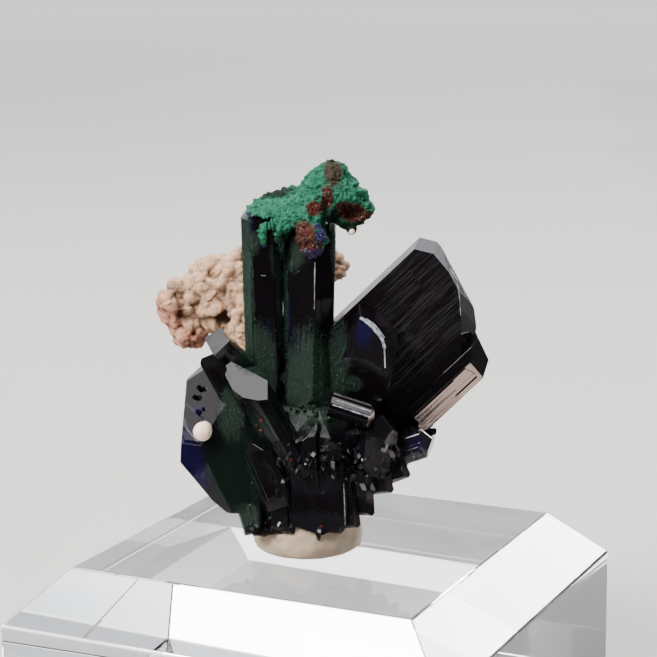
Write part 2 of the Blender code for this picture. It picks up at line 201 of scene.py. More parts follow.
CRYSTALS = {
    "tall_right": (
        (0.1, 0.6, 14.0), (0.03, 0.0, 1.0), (0, -1, 0),
        [(-60, 1.84), (-15, 1.91), (35, 1.98), (90, 1.75), (140, 2.2), (180, 2.0), (-140, 2.3)],
        [(0, 15, 7.9), (-90, 40, 7.4)], 9.0,
    ),
    "tall_left": (
        (-3.0, 0.8, 14.0), (-0.015, 0.0, 1.0), (0, -1, 0),
        [(5, 1.97), (-55, 1.37), (-90, 1.05), (-135, 1.5), (180, 1.6), (140, 2.0), (90, 1.5),
         (60, 1.85)],
        [(0, 8, 8.9), (-90, 45, 7.0)], 9.0,
    ),
    "broad_blade": (
        (7.8, 1.0, 15.6), (0.734, 0.0, 0.69), (0.08, -1, 0),
        [(0, 1.6), (48, 3.75), (90, 4.3), (140, 3.6), (180, 1.8), (-140, 3.8), (-96, 3.94)],
        [(-81, 32, 5.0), (24, 9.5, 3.87), (70, 16.5, 3.4), (60, 39, 3.13), (58, 48, 3.06)], 9.5,
    ),
    "side_blade": (
        (10.6, 0.6, 11.5), (0.734, 0.0, 0.69), (0.05, -1, 0),
        [(0, 1.0), (45, 0.24), (90, 1.36), (140, 1.5), (180, 1.5), (-90, 1.4)],
        [(90, 18.4, 2.24), (49, 57, 0.84), (80, 76, 1.35)], 7.5,
    ),
    "front_wedge": (
        (4.1, -2.2, 13.4), (0.27, 0.1, 0.96), (-0.25, -1, 0.15),
        [(0, 1.5), (110, 1.65), (180, 1.8), (-90, 1.6), (-45, 1.85)],
        [(36.7, 18.5, 2.946), (77, 36.5, 2.389), (70.6, 73.8, 1.979), (-64.6, 81.7, 1.779),
         (0, 125, 1.15)], 4.5,
    ),
    "striped_prism": (
        (3.1, -3.95, 10.55), (0.945, -0.09, -0.31), (0.15, -0.75, 0.65),
        [(-3, 0.5), (-12, 0.52), (50, 0.66), (90, 0.8), (140, 0.9), (180, 0.9), (-120, 0.8),
         (-66, 0.7)],
        [(45, 30, 1.35), (-90, 38, 1.2)], 1.5,
    ),
    "left_small": (
        (-4.8, -1.35, 13.65), (-0.5, -0.55, 0.67), (0, -0.9, -0.4),
        [(36, 0.7), (110, 0.7), (-156, 0.75), (-76, 0.67)],
        [(63, 19, 1.9)], 4.0,
    ),
    "left_prism": (
        (-3.6, -2.2, 10.6), (-0.45, -0.15, 0.88), (0.2, -1, 0),
        [(-156, 0.51), (-96, 0.56), (-60, 1.23), (-27.8, 1.8), (-9.3, 2.14), (57.5, 2.09),
         (131, 0.42)],
        [(16.8, 44.2, 2.11)], 5.0,
    ),
    "left_front": (
        (-2.75, -3.45, 6.2), (-0.35, -0.12, 0.93), (-0.1, -1, -0.15),
        [(0, 0.6), (52, 0.95), (90, 1.05), (180, 1.4), (-90, 1.05), (-50, 0.9)],
        [(5, 64, 1.35), (90, 48, 1.65), (-90, 52, 1.6), (180, 40, 1.6)], 2.6,
    ),
    "left_shoulder": (
        (-5.1, -2.6, 10.97), (-0.45, -0.05, 0.88), (-0.1, -1, 0),
        [(0, 0.46), (52, 0.7), (90, 0.9), (180, 1.5), (-90, 0.5), (-48, 0.44)],
        [(8, 66, 1.5), (180, 34, 2.75), (-80, 52, 2.3)], 4.6,
    ),
    "left_tabular": (
        (-5.2, -0.8, 7.3), (0, 0, 1), (0, -1, 0),
        [(3, 2.2), (90, 3.2), (180, 2.3), (-130, 2.9)],
        [(0, 0, 5.6), (-35, 105, 2.71), (-36.3, 68.3, 3.01), (-90, 85, 3.25), (-90, 130.8, 3.1),
         (-90, 143.5, 3.42), (-90, 35, 5.35), (60, 50, 5.0)], 4.1,
    ),
    "bottom_block": (
        (0.7, -2.2, 4.5), (0.03, -0.1, -1), (0, -1, 0.1),
        [(0, 1.5), (45, 2.2), (90, 2.0), (180, 1.5), (-90, 2.05), (-50, 2.35)],
        [(90, 20, 2.5), (-90, 25, 2.6)], 2.2,
    ),
    "middle_prism": (
        (0.2, -3.2, 7.5), (-0.05, -0.1, 1), (0, -1, 0),
        [(0, 0.8), (-60, 0.75), (60, 0.8), (90, 0.68), (180, 1.0), (-90, 0.8)],
        [(-5, 43, 1.5), (-72, 38, 1.25)], 2.5,
    ),
    "right_middle": (
        (4.8, -2.9, 8.4), (0.1, -0.3, 0.95), (0, -1, 0),
        [(0, 0.9), (46, 0.95), (100, 1.3), (180, 1.2), (-90, 1.2), (-55, 1.15)],
        [(10, 58, 1.0), (-80, 50, 1.25), (100, 48, 1.25), (190, 40, 1.3)], 2.6,
    ),
    "left_middle": (
        (-1.5, -2.8, 7.4), (-0.2, -0.3, 0.9), (0, -1, 0),
        [(8, 0.68), (68, 0.85), (128, 0.85), (188, 0.68), (248, 0.85), (308, 0.85)],
        [(10, 35, 1.5), (180, 30, 1.7)], 2.6,
    ),
    "right_low": (
        (6.9, -1.2, 7.4), (0.9, -0.2, 0.35), (0, -1, 0.3),
        [(0, 1.0), (60, 1.1), (110, 1.15), (180, 1.4), (-80, 1.0), (-40, 1.05)],
        [(0, 30, 1.55), (100, 35, 1.5), (-100, 30, 1.45)], 3.5,
    ),
}

# Short prisms that hang at the foot: centre, axis, radius, reach of the tip.
HANGING = [
    ((-1.75, -2.9, 4.0), (0.08, -0.1, -1.0), 0.82, 1.75),
    ((-1.15, -3.2, 3.5), (-0.1, -0.1, -1.0), 0.45, 1.4),
    ((2.75, -2.9, 4.0), (0.1, -0.1, -1.0), 0.62, 1.6),
    ((1.9, -3.1, 3.6), (0.0, -0.1, -1.0), 0.5, 1.5),
    ((-3.3, -3.0, 3.4), (0.05, -0.1, -1.0), 0.42, 1.5),
    ((-4.0, -2.5, 3.1), (0.26, -0.1, -0.95), 0.58, 1.3),
    ((-2.3, -2.4, 3.0), (0.12, -0.1, -1.0), 0.82, 1.35),
    ((3.6, -2.4, 4.4), (0.05, 0.0, -1.0), 0.8, 1.35),
    ((4.9, -2.0, 5.7), (0.2, 0.0, -1.0), 0.65, 1.3),
    ((5.8, -1.6, 6.5), (0.4, -0.1, -0.9), 0.65, 1.35),
    ((-2.9, 1.8, 3.2), (-0.1, 0.2, -1.0), 0.9, 1.2),
    ((2.4, 2.2, 3.4), (0.2, 0.2, -1.0), 0.9, 1.3),
    ((0.2, 3.0, 3.6), (0.0, 0.3, -1.0), 0.8, 1.3),
    ((-0.8, 0.2, 2.8), (0.05, 0.0, -1.0), 1.1, 1.2),
]

# Prisms on the sides and back: centre, axis, radius, flatness, reach.
REAR = [
    ((-4.6, 2.6, 8.2), (-0.7, 0.5, 0.5), 1.3, 0.7, 2.2),
    ((4.6, 3.0, 8.0), (0.6, 0.6, 0.45), 1.4, 0.75, 2.0),
    ((1.8, 3.8, 7.2), (0.2, 0.9, 0.2), 1.2, 0.8, 1.7),
    ((-2.2, 4.0, 6.6), (-0.3, 0.95, -0.1), 1.1, 0.8, 1.5),
    ((-5.4, 1.4, 5.6), (-0.85, 0.4, -0.2), 1.0, 0.8, 1.4),
    ((5.4, 1.0, 6.2), (0.9, 0.3, 0.0), 1.1, 0.7, 1.6),
    ((3.2, 3.0, 11.0), (0.3, 0.5, 0.8), 1.4, 0.6, 2.6),
    ((-0.2, 3.4, 5.0), (0.1, 0.85, -0.45), 0.9, 0.9, 1.5),
]

CORE_CENTRE = (0.0, 0.4, 6.4)
CORE_RADII = (5.6, 4.0, 4.3)
DRUSE_COUNT = 64
DRUSE_SEED = 12
DRUSE_RADIUS = (0.35, 0.7)
DRUSE_REACH = (0.5, 1.1)
DRUSE_TOP = 0.75
DRUSE_ROOT = 0.93
# Half turns from one small crystal to the next: the golden angle, which spreads them evenly.
DRUSE_STEP = 3.0 - math.sqrt(5.0)
# Every scatter has its own seed.
STRIAE_SEED, PLATES_SEED, FINE_DRUSE_SEED = 31, 47, 5
GRAINS_SEED, DUST_SEED, RUST_SEED, CAP_GRAINS_SEED = 17, 21, 33, 12


def crystal_axes(axis, front):
    """The long axis, the direction of azimuth 0, and the direction of azimuth 90 to its right."""
    along = Vector(axis).normalized()
    ahead = Vector(front) - along * Vector(front).dot(along)
    ahead.normalize()
    return along, ahead, along.cross(ahead)


def cut_by(bm, point, normal):
    """Takes away what lies beyond the plane, and closes the cut."""
    geometry = bm.verts[:] + bm.edges[:] + bm.faces[:]
    found = bmesh.ops.bisect_plane(
        bm, geom=geometry, dist=CUT_TOLERANCE, plane_co=point, plane_no=normal, clear_outer=True
    )
    rim = [e for e in found["geom_cut"] if isinstance(e, bmesh.types.BMEdge)]
    if rim:
        bmesh.ops.holes_fill(bm, edges=rim, sides=0)


def striate(bm, face, along, spacing, depth, rng):
    """Cuts a flat face into strips along the crystal, each sunk by its own depth, with a narrow
    riser between two strips."""
    normal = face.normal.copy()
    across = normal.cross(along).normalized()
    marks = [v.co.dot(across) for v in face.verts]
    place = min(marks) + rng.uniform(*spacing)
    high = max(marks) - spacing[0]
    drop = rng.uniform(0.0, depth)
    sunk = []
    while place < high:
        riser = rng.uniform(*RISER_WIDTH)
        for shift in (0.0, riser):
            found = bmesh.ops.bisect_plane(
                bm, geom=[*face.verts, *face.edges, face], dist=CUT_TOLERANCE,
                plane_co=across * (place + shift), plane_no=across,
            )
            faces = [g for g in found["geom"] if isinstance(g, bmesh.types.BMFace)]
            face = max(faces, key=lambda f: f.calc_center_median().dot(across))
            sunk += [(g, drop) for g in found["geom_cut"] if isinstance(g, bmesh.types.BMVert)]
            if not shift:
                drop = rng.uniform(0.0, depth)
        place += riser + rng.uniform(*spacing)
    for vert, drop in sunk:
        vert.co -= normal * drop


def map_along(bm, along, shift):
    """A UV map in millimetres, with V along the crystal on each face. End faces carry no lines
    along the crystal, so each of them has one point of the map."""
    layer = bm.loops.layers.uv.new(UV_NAME)
    for face in bm.faces:
        up = along - face.normal * along.dot(face.normal)
        if up.length < 0.05:
            up = face.normal.orthogonal()
        up.normalize()
        across = face.normal.cross(up)
        end = abs(face.normal.dot(along)) > END_COSINE
        for loop in face.loops:
            place = face.verts[0].co if end else loop.vert.co
            loop[layer].uv = (place.dot(across) + shift, place.dot(up))


def crystal(
    centre, axis, front, sides, caps, foot, edge=0.0, striae=0.0, spacing=(0.1, 0.4), rng=None
):
    """One crystal, its edges broken by edge and its long faces striated to a depth of striae."""
    middle = Vector(centre)
    along, ahead, right = crystal_axes(axis, front)
    faces = [(azimuth, 90.0, distance) for azimuth, distance in sides]
    faces += list(caps) + [(0.0, 180.0, foot)]
    bm = bmesh.new()
    bmesh.ops.create_cube(bm, size=STOCK_SIDE, matrix=Matrix.Translation(middle))
    for azimuth, tilt, distance in faces:
        turn, lean = math.radians(azimuth), math.radians(tilt)
        outward = ahead * math.cos(turn) + right * math.sin(turn)
        normal = along * math.cos(lean) + outward * math.sin(lean)
        cut_by(bm, middle + normal * distance, normal)
    bm.normal_update()
    if edge:
        bmesh.ops.bevel(
            bm, geom=bm.edges[:], offset=edge, segments=1, clamp_overlap=True, **BEVEL
        )
        bm.normal_update()
    if striae:
        for face in [
            f for f in bm.faces if abs(f.normal.dot(along)) < END_COSINE and f.calc_area() > 0.5
        ]:
            striate(bm, face, along, spacing, striae, rng)
        bm.normal_update()
    bmesh.ops.triangulate(bm, faces=bm.faces)
    map_along(bm, along, rng.uniform(0, 50) if rng else 0.0)
    return bm


def six_sides(radius, flatness=1.0, turn=0.0):
    """A hexagonal prism's faces, flattened front to back."""
    return [
        (azimuth + turn, radius * (flatness if azimuth % 180 == 0 else 1.0))
        for azimuth in range(0, 360, 60)
    ]


def core():
    """An irregular faceted lump that every crystal reaches into."""
    bm = bmesh.new()
    bmesh.ops.create_icosphere(bm, subdivisions=2, radius=1.0)
    for vert in bm.verts:
        x, y, z = vert.co
        vert.co *= 1.0 + 0.08 * math.sin(7.0 * x + 5.0 * y) * math.cos(6.0 * z)
    bmesh.ops.scale(bm, vec=CORE_RADII, verts=bm.verts)
    bmesh.ops.translate(bm, vec=CORE_CENTRE, verts=bm.verts)
    bm.normal_update()
    map_along(bm, Vector((0, 0, 1)), 0.0)
    return bm


def pointed(centre, axis, radius, flatness, turn, reach, tilts, foot):
    """A small six-sided crystal that ends in three facets."""
    caps = [
        (turn + azimuth, tilt, reach * longer)
        for azimuth, tilt, longer in zip((20, 150, 270), tilts, (1.0, 1.1, 1.0))
    ]
    return crystal(centre, axis, (0.3, -1, 0.4), six_sides(radius, flatness, turn), caps, foot)


def druse():
    """The small pointed crystals of the lower cluster, spread over the core in a spiral."""
    rng = random.Random(DRUSE_SEED)
    made = []
    for number in range(DRUSE_COUNT):
        height = -1.0 + (1.0 + DRUSE_TOP) * (number + 0.5) / DRUSE_COUNT
        around = number * math.pi * DRUSE_STEP
        ring = math.sqrt(1.0 - height * height)
        spot = Vector((ring * math.cos(around), ring * math.sin(around), height))
        outward = Vector([s / r for s, r in zip(spot, CORE_RADII)]).normalized()
        lean = Vector([rng.uniform(-0.5, 0.5) for _ in range(3)])
        root = Vector([c + s * r * DRUSE_ROOT for c, s, r in zip(CORE_CENTRE, spot, CORE_RADII)])
        radius = rng.uniform(*DRUSE_RADIUS)
        turn = rng.uniform(0, 60)
        reach = rng.uniform(*DRUSE_REACH)
        flatness = rng.uniform(0.6, 1.0)
        made.append(pointed(root, outward + lean, radius, flatness, turn, reach, (38, 35, 30), 1.2))
    return made


# Growth plates: crystal, side face, how many, and the range of their lifts.
PLATES = [
    ("broad_blade", 0, 13, (0.012, 0.045)),
    ("broad_blade", 4, 7, (0.015, 0.05)),
    ("side_blade", 1, 11, (0.02, 0.11)),
    ("side_blade", 0, 4, (0.015, 0.05)),
    ("side_blade", 4, 3, (0.02, 0.06)),
    ("tall_right", 0, 5, (0.015, 0.05)),
    ("tall_right", 1, 4, (0.015, 0.04)),
    ("tall_right", 2, 5, (0.015, 0.05)),
    ("tall_right", 3, 5, (0.02, 0.06)),
    ("tall_right", 5, 5, (0.02, 0.06)),
    ("tall_left", 0, 5, (0.015, 0.05)),
    ("tall_left", 1, 5, (0.02, 0.06)),
    ("tall_left", 4, 5, (0.02, 0.06)),
    ("front_wedge", 0, 3, (0.01, 0.03)),
    ("left_prism", 3, 3, (0.015, 0.05)),
    ("left_shoulder", 0, 4, (0.01, 0.04)),
    ("left_shoulder", 5, 4, (0.01, 0.04)),
    ("left_tabular", 0, 5, (0.015, 0.04)),
    ("left_tabular", 2, 6, (0.02, 0.06)),
    ("bottom_block", 0, 4, (0.02, 0.06)),
    ("right_low", 5, 4, (0.02, 0.06)),
]

# Stepped plates on the large left crystal's upper left face: lift and bounding faces.
LEFT_STEPS = [
    (0.09, [(0, 30, 2.9), (-60, 90, 3.3)]),
    (0.16, [(0, 38, 2.1), (20, 90, 2.0), (-80, 90, 3.2)]),
    (0.22, [(10, 50, 1.7), (0, 150, 1.6), (-50, 90, 3.1)]),
]


def smaller(name, by):
    """A crystal's faces, all drawn in by the same amount."""
    centre, axis, front, sides, caps, foot = CRYSTALS[name]
    sides = [(azimuth, distance - by) for azimuth, distance in sides]
    caps = [(azimuth, tilt, distance - by) for azimuth, tilt, distance in caps]
    return [centre, axis, front, sides, caps, foot - by]


def plates(striae):
    """Thin raised plates: the parent crystal again, a hair smaller, with one face lifted."""
    rng = random.Random(PLATES_SEED)
    made = []
    for name, side, count, lifts in PLATES:
        centre, axis, front, sides = CRYSTALS[name][:4]
        along, ahead, right = crystal_axes(axis, front)
        azimuth, distance = sides[side]
        turn = math.radians(azimuth)
        normal = ahead * math.cos(turn) + right * math.sin(turn)
        across = right * math.cos(turn) - ahead * math.sin(turn)
        parent = crystal(*CRYSTALS[name])
        places = [v.co - Vector(centre) for v in parent.verts]
        ends = [p for p in places if p.dot(normal) > distance - 0.02]
        parent.free()
        low, high = [pick(e.dot(across) for e in ends) for pick in (min, max)]
        bottom, top = [pick(e.dot(along) for e in ends) for pick in (min, max)]
        for _ in range(count):
            width = (high - low) * rng.uniform(0.12, 0.6)
            start = rng.uniform(low - width * 0.3, high - width * 0.6)
            end = bottom + (top - bottom) * rng.uniform(0.35, 1.0)
            faces = smaller(name, rng.uniform(0.02, 0.06))
            faces[3][side] = (azimuth, distance + rng.uniform(*lifts))
            faces[3] += [(azimuth + 90, start + width), (azimuth - 90, -start)]
            faces[4].append((azimuth + rng.choice((90, -90)), rng.uniform(3, 40), end))
            made.append(crystal(*faces, striae=striae, rng=rng))
    for lift, bounds in LEFT_STEPS:
        faces = smaller("left_tabular", 0.05)
        azimuth, tilt, distance = faces[4][2]
        faces[4][2] = (azimuth, tilt, distance + 0.05 + lift)
        faces[4] += bounds
        made.append(crystal(*faces))
    return made


# Where the finest crystals crowd: (centre, radii), how many, their radius, and which way they lean.
DRUSE_PATCHES = [
    ((0.6, -3.4, 7.1), (3.4, 2.2, 1.6), 84, (0.07, 0.2), (0, -0.3, -0.8)),
    ((4.6, -2.8, 6.4), (2.6, 2.4, 2.2), 76, (0.08, 0.23), (0, -0.3, -0.8)),
    ((7.0, -1.0, 7.6), (1.8, 2.4, 1.8), 12, (0.12, 0.24), (0, -0.4, -0.3)),
    ((-2.6, -3.0, 2.7), (2.2, 2.0, 0.9), 44, (0.07, 0.2), (0, -0.1, -0.5)),
    ((0.9, -2.6, 2.3), (2.8, 2.4, 0.6), 44, (0.08, 0.2), (0, -0.1, -0.5)),
    ((0.4, -1.8, 10.1), (2.8, 2.2, 1.1), 70, (0.06, 0.16), (0, -0.2, 0.6)),
    ((-7.1, -1.6, 10.5), (1.0, 1.8, 1.6), 26, (0.08, 0.22), (-0.2, 0.1, 0.5)),
    ((0.0, 3.6, 6.2), (5.0, 2.4, 3.6), 120, (0.14, 0.45), (0, 0, 0)),
    ((-5.4, 2.2, 6.0), (2.0, 2.0, 3.2), 34, (0.14, 0.36), (0, 0.3, 0)),
    ((5.2, 2.0, 7.6), (2.4, 2.4, 3.0), 50, (0.14, 0.4), (0, 0, 0)),
]


def fine_druse(base):
    """The finest crystals, rooted on the surface of the large ones where they meet."""
    rng = random.Random(FINE_DRUSE_SEED)
    made = []
    for centre, radii, count, size, bias in DRUSE_PATCHES:
        zone = [(centre, radii)]
        points = surface_points(base, count, rng.randrange(999), lambda p: inside(p, zone) * 1.4)
        for point, normal in points:
            radius = rng.uniform(*size)
            axis = normal + (Vector([rng.uniform(-0.6, 0.6) for _ in range(3)]) + Vector(bias))
            turn = rng.uniform(0, 60)
            reach = radius * rng.uniform(0.6, 1.9)
            flatness = rng.uniform(0.5, 1.0)
            tilts, foot = (62, 57, 66), radius * 1.5
            made.append(pointed(point, axis, radius, flatness, turn, reach, tilts, foot))
    return made


def azurite_bodies(edge, striae):
    """Every crystal but the finest, for the core to be joined to."""
    rng = random.Random(STRIAE_SEED)
    made = []
    for name, faces in CRYSTALS.items():
        spacing = (0.07, 0.26) if name == "broad_blade" else (0.09, 0.38)
        depth = striae * 3 if name == "striped_prism" else striae
        made.append(crystal(*faces, edge=edge, striae=depth, spacing=spacing, rng=rng))
    for centre, axis, radius, reach in HANGING:
        sides = six_sides(radius, 0.85, turn=12)
        caps = [(20, 35, reach), (200, 25, reach)]
        made.append(crystal(centre, axis, (0, -1, 0), sides, caps, 2.0, edge, striae, rng=rng))
    for centre, axis, radius, flatness, reach in REAR:
        sides = six_sides(radius, flatness, turn=20)
        caps = [(-20, 32, reach), (110, 30, reach), (220, 40, reach)]
        made.append(crystal(centre, axis, (0.2, 0.3, 1), sides, caps, 4.0, edge, striae, rng=rng))
    return made + druse() + plates(striae)


def join_bodies(obj, others):
    """Joins overlapping bodies to an object in one closed skin."""
    helpers = bpy.data.collections.new("helpers")
    for bm in others:
        body = new_object("helper", bm)
        bpy.context.scene.collection.objects.unlink(body)
        helpers.objects.link(body)
    bpy.context.scene.collection.children.link(helpers)
    join = obj.modifiers.new("join", "BOOLEAN")
    join.operation = "UNION"
    join.operand_type = "COLLECTION"
    join.collection = helpers
    join.solver = "MANIFOLD"
    bake_modifiers(obj)
    for body in list(helpers.objects):
        bpy.data.objects.remove(body, do_unlink=True)
    bpy.data.collections.remove(helpers)


# Scattering

GROUP_SIZE = 60
MOST_ROUNDS = 60
RUST_GRAINS = 60


def in_groups(places, make):
    """Makes one shape at each place, a few at a time: an operator slows as its mesh grows."""
    whole = bmesh.new()
    for start in range(0, len(places), GROUP_SIZE):
        group = bmesh.new()
        for place in places[start : start + GROUP_SIZE]:
            make(group, matrix=place)
        mesh = bpy.data.meshes.new("group")
        group.to_mesh(mesh)
        group.free()
        whole.from_mesh(mesh)
        bpy.data.meshes.remove(mesh)
    return whole


def surface_points(obj, count, seed, share):
    """Seeded points on a mesh and their normals, as often as share(point) says."""
    rng = random.Random(seed)
    bm = opened(obj.data)
    bmesh.ops.triangulate(bm, faces=bm.faces)
    bm.normal_update()
    faces = [f for f in bm.faces if f.calc_area() > 1e-6]
    weights = [f.calc_area() for f in faces]
    points = []
    rounds = 0
    while len(points) < count and rounds < MOST_ROUNDS:
        rounds += 1
        for face in rng.choices(faces, weights, k=count):
            a, b = rng.random(), rng.random()
            if a + b > 1:
                a, b = 1 - a, 1 - b
            p, q, r = [v.co for v in face.verts]
            point = p + (q - p) * a + (r - p) * b
            if rng.random() < share(point):
                points.append((point.copy(), face.normal.copy()))
                if len(points) == count:
                    break
    bm.free()
    return points


def grain_places(points, rng, sizes, lean, stretches):
    """A place for a grain at each point: its size, what stretches its Y and Z, and its lean."""
    places = []
    for point, normal in points:
        size = rng.uniform(*sizes)
        broad, tall = [size * (rng.uniform(*span) if span else 1.0) for span in stretches]
        tilt = Vector([rng.uniform(-lean, lean) for _ in range(3)])
        turn = (normal + tilt).to_track_quat("Z", "Y").to_matrix().to_4x4()
        turn = turn @ Matrix.Rotation(rng.uniform(0, math.tau), 4, "Z")
        shape = Matrix.Diagonal((size, broad, tall, 1.0))
        places.append(Matrix.Translation(point) @ turn @ shape)
    return places


# Zones on the specimen, each (centre, radii) in its own frame: where the photographed one has them.

DUST_ZONES = [
    ((-3.9, -0.6, 17.5), (0.75, 2.2, 9.0)), ((-3.2, -1.4, 12.8), (2.2, 2.0, 4.2)),
    ((0.2, -1.6, 12.0), (2.7, 2.0, 4.6)), ((-1.5, -0.9, 18.0), (0.55, 1.6, 6.5)),
    ((-1.6, -1.2, 20.6), (0.8, 1.4, 3.0)), ((2.3, -1.2, 13.0), (1.15, 2.6, 3.8)),
    ((2.1, 0.0, 21.0), (0.5, 1.6, 3.4)), ((0.2, -1.8, 10.2), (3.2, 2.6, 2.3)),
    ((-4.2, -3.6, 3.0), (1.3, 1.2, 1.5)), ((3.1, -2.9, 11.9), (1.0, 1.6, 0.9)),
    ((-0.9, -1.4, 20.4), (1.3, 1.6, 1.5)), ((-3.3, -1.2, 21.3), (0.6, 1.6, 1.0)),
    ((-4.9, -2.8, 10.2), (1.2, 1.6, 2.6)),
]
FILM_ZONES = [
    ((-4.7, -3.2, 6.4), (2.7, 1.8, 4.6)), ((-2.8, -3.4, 9.6), (1.6, 1.6, 2.2)),
    ((-1.8, -2.4, 3.4), (1.8, 1.8, 1.6)),
]
COAT_ZONES = [
    ((0.6, -3.4, 6.9), (4.6, 3.4, 3.0)), ((4.6, -2.8, 6.4), (3.8, 3.2, 3.4)),
    ((0.7, -2.6, 2.4), (4.4, 3.4, 1.8)),
]
STRIAE_SHEEN_ZONES = [((8.6, -1.2, 17.4), (4.4, 2.0, 5.0)), ((6.0, -1.2, 14.2), (3.4, 2.0, 4.4))]
BLUE_ZONES = [
    ((-7.4, -2.4, 6.0), (1.3, 2.8, 3.0)), ((-7.2, -1.8, 10.2), (0.8, 1.6, 0.5)),
    ((3.9, -3.4, 15.7), (0.8, 1.5, 1.5)), ((-1.3, -0.9, 16.4), (0.5, 1.0, 2.4)),
    ((-0.6, -1.5, 13.9), (0.8, 1.0, 1.5)), ((-2.4, -1.4, 15.4), (0.5, 0.8, 1.0)),
    ((-7.9, -2.2, 7.2), (1.2, 1.6, 2.4)), ((-3.9, -0.9, 22.6), (0.8, 1.2, 1.6)),
    ((7.4, -1.8, 7.6), (1.0, 1.4, 1.0)),
]
RUST_ZONES = [
    ((3.1, -4.0, 8.6), (0.45, 1.0, 0.45)), ((5.0, -3.4, 6.8), (0.5, 1.0, 0.5)),
    ((-1.0, -4.0, 6.7), (0.7, 1.2, 0.6)), ((1.2, -3.6, 2.1), (1.7, 1.4, 0.5)),
    ((-3.0, -3.6, 9.5), (0.5, 1.2, 0.9)), ((6.6, -1.6, 11.2), (1.0, 1.2, 0.8)),
]
CAP_BROWN_ZONES = [
    ((0.0, -2.6, 22.0), (1.0, 1.8, 1.3)), ((0.4, -2.6, 21.1), (1.2, 1.8, 0.7)),
    ((3.3, -0.6, 23.2), (1.15, 2.4, 0.75)), ((2.7, -0.8, 23.65), (0.75, 2.2, 0.4)),
    ((4.1, -0.6, 22.95), (0.75, 2.2, 0.45)), ((1.6, -0.9, 24.3), (0.5, 1.6, 1.0)),
    ((0.7, -1.4, 23.6), (0.7, 1.6, 0.6)),
]
CAP_GREY_ZONES = [((2.0, -0.3, 25.9), (0.9, 2.0, 1.6)), ((1.3, -1.0, 23.9), (0.5, 0.9, 0.6))]
CAP_BLUE_ZONES = [
    ((-3.9, -0.9, 22.5), (0.55, 1.6, 1.3)), ((-3.0, -1.3, 20.9), (0.7, 1.2, 0.6)),
    ((1.1, -2.3, 22.7), (0.6, 0.9, 0.5)), ((1.2, -2.3, 21.9), (0.5, 0.9, 0.6)),
    ((0.7, -2.1, 20.7), (1.1, 1.2, 0.5)),
]
# Where the cap is thin it is a darker green, and where its edge turns away from the light the
# darker green is painted shade.
CAP_THIN_AND_SHADED_ZONES = [
    ((-1.3, -1.8, 20.8), (1.1, 1.8, 1.7)), ((-2.2, 1.4, 24.4), (2.2, 1.2, 0.5)),
    ((2.0, -1.6, 22.6), (0.9, 1.8, 1.3)), ((3.4, -1.0, 22.2), (1.6, 1.6, 0.8)),
    ((2.3, -0.5, 20.5), (0.6, 1.6, 2.5)),
]
# Each with its depth; the last is a nodule, which stands out instead.
CAP_HOLLOWS = [
    (((3.1, -1.4, 23.3), (1.3, 1.6, 0.85)), 0.6), (((1.5, -1.6, 23.2), (0.4, 1.4, 1.2)), 0.5),
    (((-2.25, -1.6, 21.2), (0.28, 1.4, 1.9)), 0.4), (((-1.3, -1.8, 20.6), (0.9, 1.4, 1.6)), 0.12),
    (((0.3, -2.4, 21.7), (1.3, 1.6, 1.5)), -0.3),
]
SALMON_ZONES = [
    ((-10.2, 6.0, 14.6), (2.4, 3.5, 2.6)), ((-8.2, 5.6, 12.8), (2.2, 3.0, 2.0)),
    ((-10.6, 6.0, 16.6), (1.2, 3.0, 1.6)),
]
CRUST_HOLLOWS = [
    ((-7.1, 3.4, 17.2), (1.1, 2.0, 0.9)), ((-6.3, 4.0, 18.9), (1.0, 1.8, 0.6)),
    ((-8.5, 4.0, 15.2), (0.9, 1.8, 0.7)), ((-5.9, 3.8, 15.0), (0.8, 1.8, 0.9)),
    ((-10.4, 4.6, 15.4), (0.7, 1.8, 0.6)),
]


def inside(point, zones):
    """How deep a point lies in the zones: 1 at a centre, 0 outside."""
    best = 0.0
    for centre, radii in zones:
        away = Vector([(p - c) / r for p, c, r in zip(point, centre, radii)]).length
        best = max(best, 1.0 - away)
    return best


def zone_mask(node, position, zones):
    """The same as a shader value."""
    best = None
    for centre, radii in zones:
        place, size = TO_BLOCK @ Vector(centre), [r * MM for r in radii]
        frame_turn = (0, 0, SPECIMEN_TURN)
        local = node("Mapping", (position, place, frame_turn, size), vector_type="TEXTURE")[0]
        ball = node("TexGradient", (local,), gradient_type="SPHERICAL")["Fac"]
        best = node("Math", (best, ball), operation="MAXIMUM")[0] if best else ball
    return best


# Materials


def new_material(name):
    """A material, what adds a node to it, and the place on the piece."""
    made = bpy.data.materials.new(name)
    made.use_nodes = True
    node = partial(add_node, made.node_tree)
    return made, node, node("TexCoord")["Object"]


def finished(made, **sockets):
    """Sets or links the sockets of the material's Principled shader."""
    named = {socket.replace("_", " "): value for socket, value in sockets.items()}
    set_inputs(made.node_tree.nodes["Principled BSDF"], named)
    return made


def speckle(node, position, size, detail=2.0, roughness=0.5, span=None, result=(0.0, 1.0)):
    """Noise in lumps about size millimetres across. What lies in the span becomes the result."""
    scale = 1.0 / (size * MM)
    inputs = {"Vector": position, "Scale": scale, "Detail": detail, "Roughness": roughness}
    cloud = node("TexNoise", inputs)["Fac"]
    return node("MapRange", (cloud, *span, *result))[0] if span else cloud


def streaks(node, along, width, length, detail, roughness=0.5, span=None):
    """Noise drawn out along the crystal, in streaks so many millimetres wide and long."""
    place = node("Mapping", {"Vector": along, "Scale": (1.0 / width, 1.0 / length, 1.0)})[0]
    inputs = {"Vector": place, "Scale": 1.0, "Detail": detail, "Roughness": roughness}
    lines = node("TexNoise", inputs, noise_dimensions="2D")["Fac"]
    return node("MapRange", (lines, *span))[0] if span else lines


def patches(node, position, zones, layers, low, high):
    """Where a stain lies: its zones, with their edges broken by layers of (pattern, share)."""
    mask = zone_mask(node, position, zones)
    for layer, share in layers:
        mask = node("Math", (layer, share, mask), operation="MULTIPLY_ADD")[0]
    return node("MapRange", (mask, low, high))[0]


